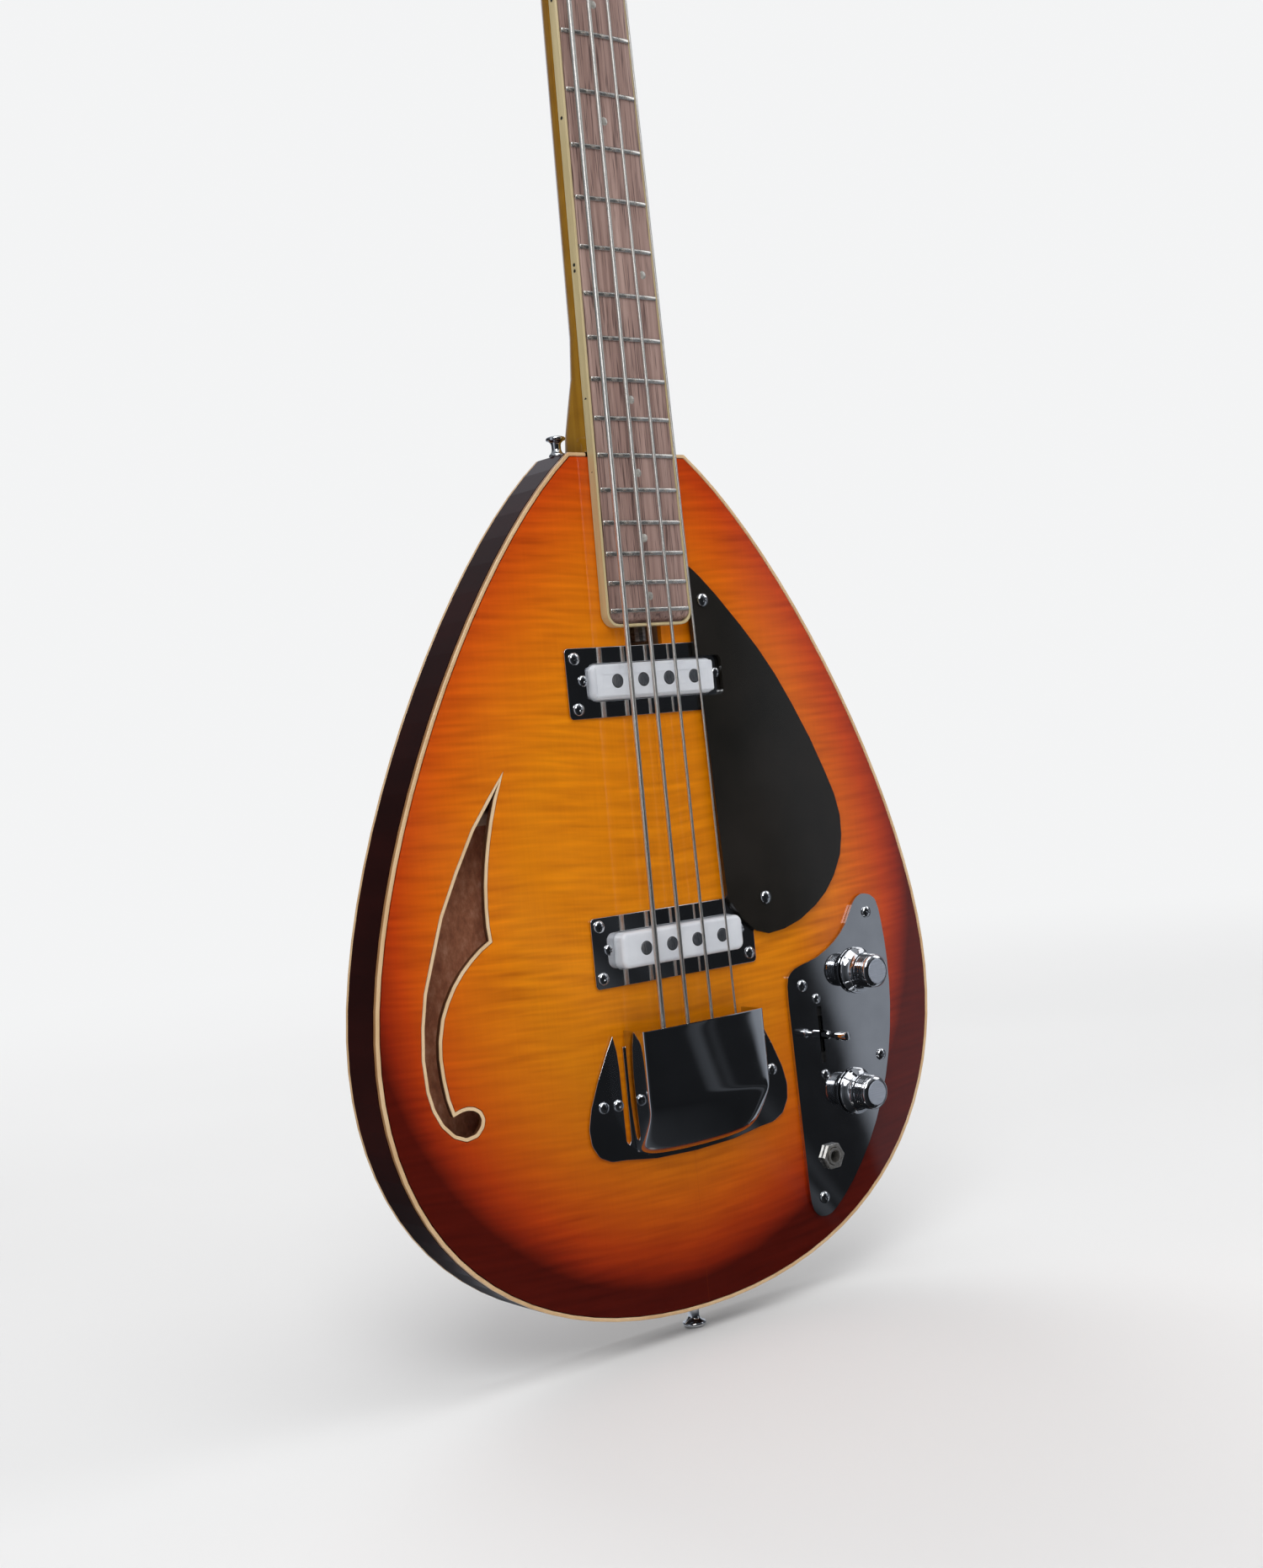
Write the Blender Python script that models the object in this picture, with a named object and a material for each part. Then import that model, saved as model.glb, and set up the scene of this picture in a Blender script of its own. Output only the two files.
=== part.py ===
# Short-scale electric bass guitar with a teardrop semi-hollow body.
# Upright: the neck runs along +Z, the front faces -Y, and the treble side is +X.
# The lowest point of the body's outline is at z = 0, on the centre line and at mid-depth.
# A height h is measured out of the body's front plane, towards the player's view.
import math

import bmesh
import bpy
from mathutils import Vector

for old in list(bpy.data.objects):
    bpy.data.objects.remove(old, do_unlink=True)

MM = 0.001
GAP = 0.3 * MM                    # between pieces that touch
RUN = 0.3 * MM                    # around pieces that turn or slide

# Scale and frets
SCALE = 775 * MM
SADDLE_Z = 122 * MM
FRETS = 21
NUT_Z = SADDLE_Z + SCALE

# Body
BODY_T = 28 * MM
BODY_HALF = 177 * MM              # half of the greatest width
BODY_WIDEST_Z = 148 * MM
BODY_END_Z = 432 * MM             # the short flat end at the neck
BODY_END_HALF = 37 * MM
TOP_T = 3 * MM
BACK_T = 2 * MM
BINDING_W = 2 * MM
RIM_W = 6 * MM
BLOCK_HALF = 48 * MM
BRACE_Z = 254 * MM
BRACE_W = 7 * MM
BRACE_D = 11 * MM

# Neck
NUT_HALF = 19.1 * MM              # half width of the fingerboard at the nut
BOARD_HALF_21 = 26.8 * MM         # half width at the last fret
BOARD_END_Z = 344.5 * MM
BOARD_CORNER = 7 * MM
BOARD_EDGE_H = 6 * MM
BOARD_CROWN = 1 * MM
BOARD_BINDING = 1.5 * MM
FRET_W = 2.4 * MM
FRET_H = 1.1 * MM
TENON_HALF = 22 * MM
TENON_D = 21 * MM
TENON_END_Z = BOARD_END_Z + 2.5 * MM
HEEL_D = 26 * MM
SHAFT_D = 18 * MM
NUT_D = 15.5 * MM
HEAD_DROP = 3 * MM                # headstock face below the front plane
HEAD_T = 14 * MM
NUT_T = 4 * MM
ROD_R = 3 * MM
ROD_DEPTH = 5.8 * MM              # depth of the rod's axis
ROD_SLOT_HALF = 10.5 * MM
ROD_SLOT_Z = BOARD_END_Z - 9 * MM

# Strings: radius and place for E, A, D, G
STRING_R = [1.33 * MM, 1.08 * MM, 0.83 * MM, 0.57 * MM]
NUT_SPACING = 10.4 * MM
SADDLE_SPACING = 16.1 * MM
NUT_REST_H = 8.4 * MM             # what a string rests on, at the nut
SADDLE_REST_H = 13.1 * MM         # and at the saddle

# Tuners
POST_Z = 38 * MM                  # first post above the nut, and the step between posts
POST_X = -20 * MM
POST_STEP_X = 6 * MM
POST_R = 5 * MM
POST_H = 20 * MM                  # above the headstock's face
WIND_H = 9 * MM                   # where the string meets its post, above the face
GEAR_R = 9 * MM
GEAR_TEETH = 12
GEAR_T = 6 * MM
WORM_R = 3.2 * MM
KEY_R = 2.5 * MM
TUNER_T = 2 * MM
LUG_X = 12 * MM
LUG_T = 3 * MM
BUTTON_R = 11 * MM
BUTTON_L = 22 * MM
BUTTON_X = 23 * MM                # from the post to the button
BUTTON_FLAT = 0.32                # thickness of the button as a share of its width
RETAINER_Z = 20 * MM              # above the nut
RETAINER_R = 2.2 * MM
RETAINER_PRESS = 1.5 * MM         # the bar's underside below the nut's slots

# Pickups
PICKUP_Z = [BOARD_END_Z - 26.5 * MM, 185.6 * MM]
PICKUP_TOP_H = [6 * MM, 8.5 * MM]
PICKUP_PLATE_HALF = [52 * MM, 17.5 * MM]
PICKUP_PLATE_T = 1 * MM
PICKUP_HALF = [39 * MM, 8.9 * MM]
PICKUP_CORNER = 4 * MM
PICKUP_SKIRT = 6 * MM             # how far the cover reaches below the front plane
PICKUP_WALL = 1.5 * MM
PICKUP_ROUT_D = 16 * MM
POLE_R = 3 * MM
POLE_SPACING = 16.4 * MM

# Pickguard
GUARD_T = 2.2 * MM
GUARD_H = PICKUP_PLATE_T + 2 * GAP
GUARD_SCREWS = [(36.5 * MM, BOARD_END_Z + 12 * MM), (60 * MM, BOARD_END_Z - 144 * MM)]
SCREW_R = 1.4 * MM
SCREW_HEAD_R = 3.6 * MM

# Bridge
BRIDGE_T = 1.2 * MM
COVER_HALF = 39 * MM
COVER_FRONT_Z = 146.5 * MM
COVER_CREASE_Z = 99 * MM
COVER_REAR_Z = 84 * MM
COVER_H = 18 * MM
COVER_T = 1.5 * MM
COVER_ROUND = 3 * MM
SADDLE_HALF = 6 * MM
SADDLE_L = 14 * MM
FLANGE_Z = 101 * MM
FLANGE_T = 2.5 * MM
FLANGE_H = 9 * MM
ANCHOR_H = 5 * MM
BALL_R = 2.6 * MM

# Controls
CONTROL_T = 1.5 * MM
CONTROL_MARGIN = 6 * MM           # the plate's overlap on the top
KNOBS = [(121 * MM, 153.5 * MM), (112.5 * MM, 89.5 * MM)]
KNOB_R = 8.8 * MM
KNOB_SKIRT_R = 12.5 * MM
KNOB_TOP_H = 18.7 * MM
POT_R = 12 * MM
POT_D = 10 * MM
BUSH_R = 4.7 * MM
BUSH_UP = 1.5 * MM
SHAFT_R = 3 * MM
SWITCH_AT = (92 * MM, 123.3 * MM)
SWITCH_HALF = [8 * MM, 20 * MM]
SWITCH_D = 14 * MM
SWITCH_SLOT_HALF = [1.5 * MM, 15 * MM]
LEVER_PIVOT = 8 * MM              # below the front plane
LEVER_TOP_H = 22 * MM
LEVER_R = 2.4 * MM
LEVER_FLAT = 0.4                  # thickness of the blade as a share of the lever's width
JACK_AT = (90.7 * MM, 58.5 * MM)
JACK_R = 4.6 * MM
JACK_BORE_R = 3.25 * MM
JACK_D = 18 * MM
JACK_NUT_R = 7.4 * MM
BUTTON_AT_X = -33.5 * MM          # top strap button
STRAP_R = 6 * MM
STRAP_L = 12 * MM
LOOM_R = 1.8 * MM


def y_of(h):
    """World y of a height over the front plane."""
    return -(BODY_T / 2 + h)


def material(name, colour, roughness, metallic=0.0):
    mat = bpy.data.materials.new(name)
    mat.use_nodes = True
    shader = mat.node_tree.nodes["Principled BSDF"]
    shader.inputs["Base Color"].default_value = (*colour, 1.0)
    shader.inputs["Roughness"].default_value = roughness
    shader.inputs["Metallic"].default_value = metallic
    return mat


CHROME = ((0.78, 0.79, 0.81), 0.08, 1.0)
NICKEL = ((0.62, 0.60, 0.56), 0.3, 1.0)
CREAM = ((0.80, 0.66, 0.42), 0.35, 0.0)
MAPLE = ((0.62, 0.36, 0.10), 0.3, 0.0)
WHITE = ((0.80, 0.80, 0.82), 0.35, 0.0)
BLACK = ((0.015, 0.014, 0.013), 0.15, 0.0)


def finish(name, bm, look):
    """Turns a bmesh into the named object with its own material."""
    bmesh.ops.recalc_face_normals(bm, faces=bm.faces)
    mesh = bpy.data.meshes.new(name)
    bm.to_mesh(mesh)
    bm.free()
    mesh.polygons.foreach_set("use_smooth", [True] * len(mesh.polygons))
    mesh.set_sharp_from_angle(angle=math.radians(38))
    obj = bpy.data.objects.new(name, mesh)
    bpy.context.collection.objects.link(obj)
    obj.data.materials.append(material(name, *look))
    return obj


def tool(obj):
    """Marks an object that only cuts or joins another one."""
    obj.hide_render = True
    obj.display_type = "WIRE"
    return obj


def combine(target, other, operation="DIFFERENCE"):
    mod = target.modifiers.new(operation.lower(), "BOOLEAN")
    mod.operation = operation
    mod.solver = "EXACT"
    mod.object = tool(other)
    return target


def move_origin(obj, point):
    """Puts an object's origin on its joint without moving its mesh."""
    point = Vector(point)
    for vert in obj.data.vertices:
        vert.co -= point
    obj.location = point


def prism(name, outline, h0, h1, look):
    """An outline in x and z, extruded from height h0 to h1."""
    bm = bmesh.new()
    low = [bm.verts.new((x, y_of(h0), z)) for x, z in outline]
    high = [bm.verts.new((x, y_of(h1), z)) for x, z in outline]
    bm.faces.new(low)
    bm.faces.new(list(reversed(high)))
    for i in range(len(outline)):
        j = (i + 1) % len(outline)
        bm.faces.new((low[j], low[i], high[i], high[j]))
    return finish(name, bm, look)


def band(name, outer, inner, h0, h1, look, closed=True):
    """A strip between two chains of points, closed on itself or open at its ends."""
    bm = bmesh.new()
    rows = []
    for chain, h in ((outer, h0), (inner, h0), (inner, h1), (outer, h1)):
        rows.append([bm.verts.new((x, y_of(h), z)) for x, z in chain])
    count = len(outer)
    for i in range(count if closed else count - 1):
        j = (i + 1) % count
        for a in range(4):
            b = (a + 1) % 4
            bm.faces.new((rows[a][i], rows[a][j], rows[b][j], rows[b][i]))
    if not closed:
        bm.faces.new([row[0] for row in rows])
        bm.faces.new([row[-1] for row in rows])
    return finish(name, bm, look)


def slab(name, section, z0, z1, look):
    """A cross-section in x and h, extruded along z."""
    bm = bmesh.new()
    low = [bm.verts.new((x, y_of(h), z0)) for x, h in section]
    high = [bm.verts.new((x, y_of(h), z1)) for x, h in section]
    bm.faces.new(low)
    bm.faces.new(list(reversed(high)))
    for i in range(len(section)):
        j = (i + 1) % len(section)
        bm.faces.new((low[j], low[i], high[i], high[j]))
    return finish(name, bm, look)


def box(name, x0, x1, h0, h1, z0, z1, look=BLACK):
    return prism(name, [(x0, z0), (x1, z0), (x1, z1), (x0, z1)], h0, h1, look)


def side_prism(name, section, x0, x1, look):
    """A profile in z and h, extruded along x."""
    bm = bmesh.new()
    low = [bm.verts.new((x0, y_of(h), z)) for z, h in section]
    high = [bm.verts.new((x1, y_of(h), z)) for z, h in section]
    bm.faces.new(low)
    bm.faces.new(list(reversed(high)))
    for i in range(len(section)):
        j = (i + 1) % len(section)
        bm.faces.new((low[j], low[i], high[i], high[j]))
    return finish(name, bm, look)


def turned(name, profile, place, look, segments=24, radius_at=None):
    """Revolves a profile of (radius, distance) pairs that starts and ends on its axis.

    place maps (across, up, along) to a world point, and radius_at may change a radius by row and step.
    """
    bm = bmesh.new()
    rows = []
    for row, (radius, along) in enumerate(profile):
        if radius == 0:
            rows.append([bm.verts.new(place(0, 0, along))])
            continue
        ring = []
        for step in range(segments):
            angle = 2 * math.pi * step / segments
            r = radius_at(row, step, radius) if radius_at else radius
            ring.append(bm.verts.new(place(r * math.cos(angle), r * math.sin(angle), along)))
        rows.append(ring)
    for lower, upper in zip(rows, rows[1:]):
        for step in range(segments):
            nxt = (step + 1) % segments
            if len(lower) == 1:
                bm.faces.new((lower[0], upper[nxt], upper[step]))
            elif len(upper) == 1:
                bm.faces.new((lower[step], lower[nxt], upper[0]))
            else:
                bm.faces.new((lower[step], lower[nxt], upper[nxt], upper[step]))
    return finish(name, bm, look)


def out_of_top(x, z):
    """Places a turned piece whose axis stands on the front: along is a height."""
    return lambda a, b, along: (x + a, y_of(along), z + b)


def tube(name, points, radii, look, sides=6):
    """A round bar along points, with a radius for each point."""
    bm = bmesh.new()
    points = [Vector(p) for p in points]
    rings = []
    side = None
    for i, point in enumerate(points):
        ahead = points[min(i + 1, len(points) - 1)] - points[max(i - 1, 0)]
        ahead.normalize()
        if side is None:
            side = ahead.orthogonal().normalized()
        side = (side - ahead * side.dot(ahead)).normalized()
        other = ahead.cross(side)
        ring = []
        for step in range(sides):
            angle = 2 * math.pi * step / sides
            ring.append(bm.verts.new(point + radii[i] * (side * math.cos(angle) + other * math.sin(angle))))
        rings.append(ring)
    for lower, upper in zip(rings, rings[1:]):
        for step in range(sides):
            nxt = (step + 1) % sides
            bm.faces.new((lower[step], lower[nxt], upper[nxt], upper[step]))
    bm.faces.new(list(reversed(rings[0])))
    bm.faces.new(rings[-1])
    return finish(name, bm, look)


def cubic(p0, p1, p2, p3, count):
    """Points of a cubic curve, without its last one."""
    points = []
    for i in range(count):
        t = i / count
        a, b, c, d = (1 - t) ** 3, 3 * t * (1 - t) ** 2, 3 * t * t * (1 - t), t ** 3
        points.append((a * p0[0] + b * p1[0] + c * p2[0] + d * p3[0],
                       a * p0[1] + b * p1[1] + c * p2[1] + d * p3[1]))
    return points


def arc(cx, cz, radius, start, end, count):
    """Points on an arc, angles in degrees from +X towards +Z, both ends included."""
    points = []
    for i in range(count + 1):
        angle = math.radians(start + (end - start) * i / count)
        points.append((cx + radius * math.cos(angle), cz + radius * math.sin(angle)))
    return points


def flowing(points, steps=3):
    """A smooth closed curve through the given points, in millimetres."""
    count = len(points)
    out = []
    for i in range(count):
        p0, p1, p2, p3 = (points[(i + k) % count] for k in (-1, 0, 1, 2))
        for s in range(steps):
            t = s / steps
            pair = []
            for k in (0, 1):
                pair.append(MM * 0.5 * (2 * p1[k] + (p2[k] - p0[k]) * t
                                        + (2 * p0[k] - 5 * p1[k] + 4 * p2[k] - p3[k]) * t * t
                                        + (3 * p1[k] - p0[k] - 3 * p2[k] + p3[k]) * t ** 3))
            out.append(tuple(pair))
    return out


def inset(outline, distance, longest=3.0):
    """Moves each side of a closed outline inwards; sharp corners move at most longest times that."""
    area = sum(a[0] * b[1] - b[0] * a[1] for a, b in zip(outline, outline[1:] + outline[:1]))
    turn = 1 if area > 0 else -1
    count = len(outline)
    moved = []
    for i in range(count):
        before, here, after = outline[i - 1], outline[i], outline[(i + 1) % count]
        n0 = Vector((before[1] - here[1], here[0] - before[0])).normalized() * turn
        n1 = Vector((here[1] - after[1], after[0] - here[0])).normalized() * turn
        middle = n0 + n1
        if middle.length < 1e-9:
            middle = n0
        middle.normalize()
        reach = min(1 / max(middle.dot(n0), 1e-6), longest)
        moved.append((here[0] + middle.x * distance * reach, here[1] + middle.y * distance * reach))
    return moved


def rounded_rect(cx, cz, half_x, half_z, radius, count=3):
    points = []
    for sx, sz, start in ((1, -1, -90), (1, 1, 0), (-1, 1, 90), (-1, -1, 180)):
        middle_x = cx + sx * (half_x - radius)
        middle_z = cz + sz * (half_z - radius)
        points += arc(middle_x, middle_z, radius, start, start + 90, count)
    return points


def mirrored(half):
    """A right half, listed from the bottom to the top, with its left half."""
    return half + [(-x, z) for x, z in reversed(half) if x > 1e-9]


def body_outline():
    """Two curves a side: the round bottom, and the long shoulder up to the flat end."""
    low = cubic((0, 0), (0.59 * BODY_HALF, 0), (BODY_HALF, 0.37 * BODY_WIDEST_Z),
                (BODY_HALF, BODY_WIDEST_Z), 20)
    rise = BODY_END_Z - BODY_WIDEST_Z
    high = cubic((BODY_HALF, BODY_WIDEST_Z), (BODY_HALF, BODY_WIDEST_Z + 0.324 * rise),
                 (0.565 * BODY_HALF, BODY_WIDEST_Z + 0.824 * rise), (BODY_END_HALF, BODY_END_Z), 20)
    return mirrored(low + high + [(BODY_END_HALF, BODY_END_Z)])


def board_half(z):
    """Half width of the fingerboard, which narrows evenly towards the nut."""
    last = SADDLE_Z + SCALE * 2 ** (-FRETS / 12)
    return BOARD_HALF_21 + (NUT_HALF - BOARD_HALF_21) * (z - last) / (NUT_Z - last)


def crossing(outline, x, upper):
    """Where a closed outline crosses a vertical line, at its top or its bottom."""
    hits = []
    for (x0, z0), (x1, z1) in zip(outline, outline[1:] + outline[:1]):
        if (x0 - x) * (x1 - x) <= 0 and x0 != x1:
            hits.append(z0 + (z1 - z0) * (x - x0) / (x1 - x0))
    return max(hits) if upper else min(hits)


def reach_at(outline, z):
    """How far a closed outline reaches on the treble side at a height z."""
    hits = []
    for (x0, z0), (x1, z1) in zip(outline, outline[1:] + outline[:1]):
        if (z0 - z) * (z1 - z) <= 0 and z0 != z1:
            hits.append(x0 + (x1 - x0) * (z - z0) / (z1 - z0))
    return max(hits)


OUTLINE = body_outline()

# The f-hole, measured on its binding's outer edge, in millimetres, on the bass side.
F_HOLE = [(x * MM, z * MM) for x, z in (
    (-93.5, 279), (-103.4, 267.5), (-114.6, 253.5), (-126, 234.5), (-136.5, 215), (-143.7, 196),
    (-149, 181), (-152, 166), (-153.5, 151), (-152.7, 136), (-150.5, 127), (-146.5, 119),
    (-140.5, 112.7), (-133.7, 109.8), (-127.3, 110.8), (-123.6, 114.5), (-122.5, 118.5),
    (-124.1, 122.4), (-127.5, 124.8), (-131.5, 125.7), (-135.2, 125.4), (-138.6, 124.4),
    (-140.6, 131), (-142, 141), (-142.5, 150), (-141.8, 158), (-139.4, 167.5), (-136, 174.5),
    (-131.8, 181), (-126.6, 187), (-121.2, 191.8), (-115.5, 196), (-109, 199.6),
    (-109.7, 207), (-109.6, 216), (-108.8, 226), (-107.2, 236), (-105, 246), (-102.2, 256),
    (-98.8, 266))]

CONTROL_OUTLINE = flowing((
    (133, 193.8), (127.5, 193), (123, 189), (116.5, 179), (107, 170.8), (94, 164.4), (81, 161.6),
    (74, 158.5), (71, 152), (71, 132), (71.6, 111), (72.4, 77), (73, 54), (73.6, 37),
    (77, 30), (83.5, 28), (91, 30.8), (104.7, 42.5), (119.5, 60.5), (131.5, 82), (140, 106),
    (144.6, 132), (145.4, 156), (143.6, 177), (140.5, 190)), 2)

# The pickguard's free edge: across from the centre line, and up from the fingerboard's end.
GUARD_OUTER = [(x * MM, BOARD_END_Z + z * MM) for x, z in (
    (31, 28.5), (36, 24.3), (46, 14.5), (61, -2), (71.5, -14.5), (81.5, -28.2), (91.5, -44.5),
    (102, -63.5), (110.8, -82.5), (116, -95), (118.6, -106.5), (118.3, -117), (116, -127.5),
    (110, -138.2), (103, -146.2), (95, -152.2), (83, -158.5), (71, -161.9), (60, -162.9),
    (51.5, -160.3), (43, -152.5), (34.5, -141.6))]


def string_x(index, z):
    """Across the neck: the strings spread evenly from the nut to the saddles."""
    spread = NUT_SPACING + (SADDLE_SPACING - NUT_SPACING) * (NUT_Z - z) / SCALE
    return (index - 1.5) * spread


# Body shell
def make_body():
    rim = band("rim", OUTLINE, inset(OUTLINE, RIM_W), -TOP_T - GAP, -BODY_T + BACK_T + GAP,
               ((0.055, 0.012, 0.012), 0.12, 0.0))
    combine(rim, box("tool_rim_pocket", -TENON_HALF - GAP, TENON_HALF + GAP, -TENON_D - GAP, 5 * MM,
                     BODY_END_Z - 2 * RIM_W, BODY_END_Z + RIM_W))
    prism("back_plate", inset(OUTLINE, BINDING_W + GAP), -BODY_T, -BODY_T + BACK_T,
          ((0.09, 0.018, 0.015), 0.12, 0.0))
    band("back_binding", OUTLINE, inset(OUTLINE, BINDING_W), -BODY_T, -BODY_T + BACK_T, CREAM)

    side = [i for i, point in enumerate(OUTLINE) if point[1] > BODY_END_Z - 1e-6]
    chain = OUTLINE[side[1]:] + OUTLINE[:side[0] + 1]
    inner = inset(OUTLINE, BINDING_W)
    inner = inner[side[1]:] + inner[:side[0] + 1]
    stop = board_half(BODY_END_Z) + GAP
    outer_chain = [(-stop, BODY_END_Z)] + chain + [(stop, BODY_END_Z)]
    inner_chain = [(-stop, BODY_END_Z - BINDING_W)] + inner + [(stop, BODY_END_Z - BINDING_W)]
    band("front_binding", outer_chain, inner_chain, -TOP_T, 0, CREAM, closed=False)

    edge = inset(OUTLINE, BINDING_W + GAP)
    top_z = BODY_END_Z - BINDING_W - GAP
    right = [p for p in edge if p[0] > 0 and p[1] < top_z - 1e-6]
    left = [(-x, z) for x, z in reversed(right)]
    bottom = [p for p in edge if abs(p[0]) < 1e-9]
    corner = max(x for x, z in edge if z > top_z - 1e-4)
    pocket = TENON_HALF + GAP
    end = TENON_END_Z - GAP
    outline = bottom + right + [(corner, top_z), (pocket, top_z), (pocket, end), (ROD_SLOT_HALF, end),
                                (ROD_SLOT_HALF, ROD_SLOT_Z), (-ROD_SLOT_HALF, ROD_SLOT_Z),
                                (-ROD_SLOT_HALF, end), (-pocket, end), (-pocket, top_z), (-corner, top_z)]
    top = prism("top_plate", outline + left, -TOP_T, 0, ((0.72, 0.26, 0.03), 0.12, 0.0))
    combine(top, prism("tool_f_hole", inset(F_HOLE, -GAP), -9 * MM, 9 * MM, BLACK))
    combine(top, prism("tool_controls", inset(CONTROL_OUTLINE, CONTROL_MARGIN), -9 * MM, 9 * MM, BLACK))
    for i, z in enumerate(PICKUP_Z):
        rout = rounded_rect(0, z, PICKUP_HALF[0] + 1.5 * MM, PICKUP_HALF[1] + 1.5 * MM, PICKUP_CORNER)
        combine(top, prism(f"tool_rout_{i}", rout, -9 * MM, 9 * MM, BLACK))
    for i, (x, z) in enumerate(GUARD_SCREWS):
        combine(top, turned(f"tool_screw_hole_{i}", [(0, -9 * MM), (SCREW_R + GAP, -9 * MM),
                            (SCREW_R + GAP, 9 * MM), (0, 9 * MM)], out_of_top(x, z), BLACK, 12))
    band("f_hole_binding", F_HOLE, inset(F_HOLE, BINDING_W * 0.8), -TOP_T, 0, CREAM)


def make_block():
    fence = inset(OUTLINE, RIM_W + GAP)
    low = [(x, crossing(fence, x, False)) for x in (BLOCK_HALF * k / 4 for k in range(-4, 5))]
    high = [(x, crossing(fence, x, True)) for x in (BLOCK_HALF * k / 4 for k in range(4, -5, -1))]
    block = prism("centre_block", low + high, -BODY_T + BACK_T + GAP, -TOP_T - GAP,
                  ((0.45, 0.28, 0.14), 0.6, 0.0))
    combine(block, box("tool_block_pocket", -TENON_HALF - GAP, TENON_HALF + GAP, -TENON_D - GAP, 5 * MM,
                       TENON_END_Z - GAP, BODY_END_Z))
    combine(block, box("tool_rod_slot", -ROD_SLOT_HALF, ROD_SLOT_HALF, -ROD_DEPTH - 6 * MM, 5 * MM,
                       ROD_SLOT_Z, TENON_END_Z + MM))
    for i, z in enumerate(PICKUP_Z):
        rout = rounded_rect(0, z, PICKUP_HALF[0] + 1.5 * MM, PICKUP_HALF[1] + 1.5 * MM, PICKUP_CORNER)
        combine(block, prism(f"tool_block_rout_{i}", rout, -PICKUP_ROUT_D, 5 * MM, BLACK))
    hole = LOOM_R + 4 * GAP
    combine(block, turned("tool_loom_hole", [(0, 0), (hole, 0), (hole, BLOCK_HALF), (0, BLOCK_HALF)],
                          lambda a, b, along: (30 * MM + along, y_of(-13 * MM) + a, PICKUP_Z[1] + b),
                          BLACK, 12))
    end = -reach_at(fence, BRACE_Z + BRACE_W)
    floor = -BODY_T + BACK_T + GAP
    box("back_brace", end, -BLOCK_HALF - GAP, floor, floor + BRACE_D, BRACE_Z, BRACE_Z + BRACE_W,
        ((0.42, 0.25, 0.12), 0.7, 0.0))


def make_strap_buttons():
    profile = [(0, 0), (5 * MM, 0), (4.6 * MM, 1.2 * MM), (3 * MM, 3 * MM), (3 * MM, 0.62 * STRAP_L),
               (STRAP_R, 0.8 * STRAP_L), (STRAP_R, 0.92 * STRAP_L), (0.7 * STRAP_R, STRAP_L), (0, STRAP_L)]
    middle = y_of(-BODY_T / 2)
    turned("top_strap_button", profile,
           lambda a, b, along: (BUTTON_AT_X + a, middle + b, BODY_END_Z + GAP + along), CHROME, 20)
    turned("tail_strap_button", profile,
           lambda a, b, along: (a, middle - b, -GAP - along), CHROME, 20)


# Neck, board and nut
def neck_section(z, half, front, back, power, count=12):
    """Half-round back: a superellipse under a flat front."""
    points = []
    for i in range(count + 1):
        angle = math.pi * i / count
        c, s = math.cos(angle), math.sin(angle)
        x = half * math.copysign(abs(c) ** (2 / power), c)
        points.append((x, y_of(front - (front - back) * abs(s) ** (2 / power)), z))
    return points


def make_neck():
    heel = BODY_END_Z + GAP
    bare = NUT_Z + NUT_T + 2 * MM
    stations = [(heel, 0, HEEL_D, 5), (heel + 10 * MM, 0, HEEL_D * 0.985, 4.4),
                (heel + 24 * MM, 0, HEEL_D * 0.88, 3.4), (heel + 38 * MM, 0, HEEL_D * 0.74, 2.7),
                (heel + 58 * MM, 0, SHAFT_D, 2.3),
                (heel + 0.5 * (NUT_Z - heel), 0, 0.5 * (SHAFT_D + NUT_D), 2.3),
                (NUT_Z - 20 * MM, 0, NUT_D, 2.3), (bare, 0, NUT_D, 2.6),
                (bare + 7 * MM, -HEAD_DROP - 0.5 * MM, HEAD_DROP + HEAD_T - MM, 3.2)]
    bm = bmesh.new()
    rings = []
    for z, front, depth, power in stations:
        half = board_half(min(z, NUT_Z))
        rings.append([bm.verts.new(p) for p in neck_section(z, half, front, -depth, power)])
    for lower, upper in zip(rings, rings[1:]):
        for i in range(len(lower)):
            j = (i + 1) % len(lower)
            bm.faces.new((lower[i], lower[j], upper[j], upper[i]))
    bm.faces.new(rings[0])
    bm.faces.new(rings[-1])
    neck = finish("neck", bm, MAPLE)
    combine(neck, prism("tool_headstock", head_outline(), -HEAD_DROP - HEAD_T, -HEAD_DROP, MAPLE), "UNION")
    tenon = box("tool_tenon", -TENON_HALF, TENON_HALF, -TENON_D, 0, TENON_END_Z, heel + 6 * MM)
    combine(neck, tenon, "UNION")
    channel = ROD_R + GAP
    combine(neck, box("tool_rod_channel", -channel, channel, -ROD_DEPTH - channel, 5 * MM,
                      TENON_END_Z - MM, NUT_Z - 12 * MM + GAP))
    for i in range(4):
        x, z = post_at(i)
        combine(neck, turned(f"tool_post_hole_{i}", [(0, -60 * MM), (POST_R + RUN, -60 * MM),
                             (POST_R + RUN, 20 * MM), (0, 20 * MM)], out_of_top(x, z), BLACK, 22))


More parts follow.
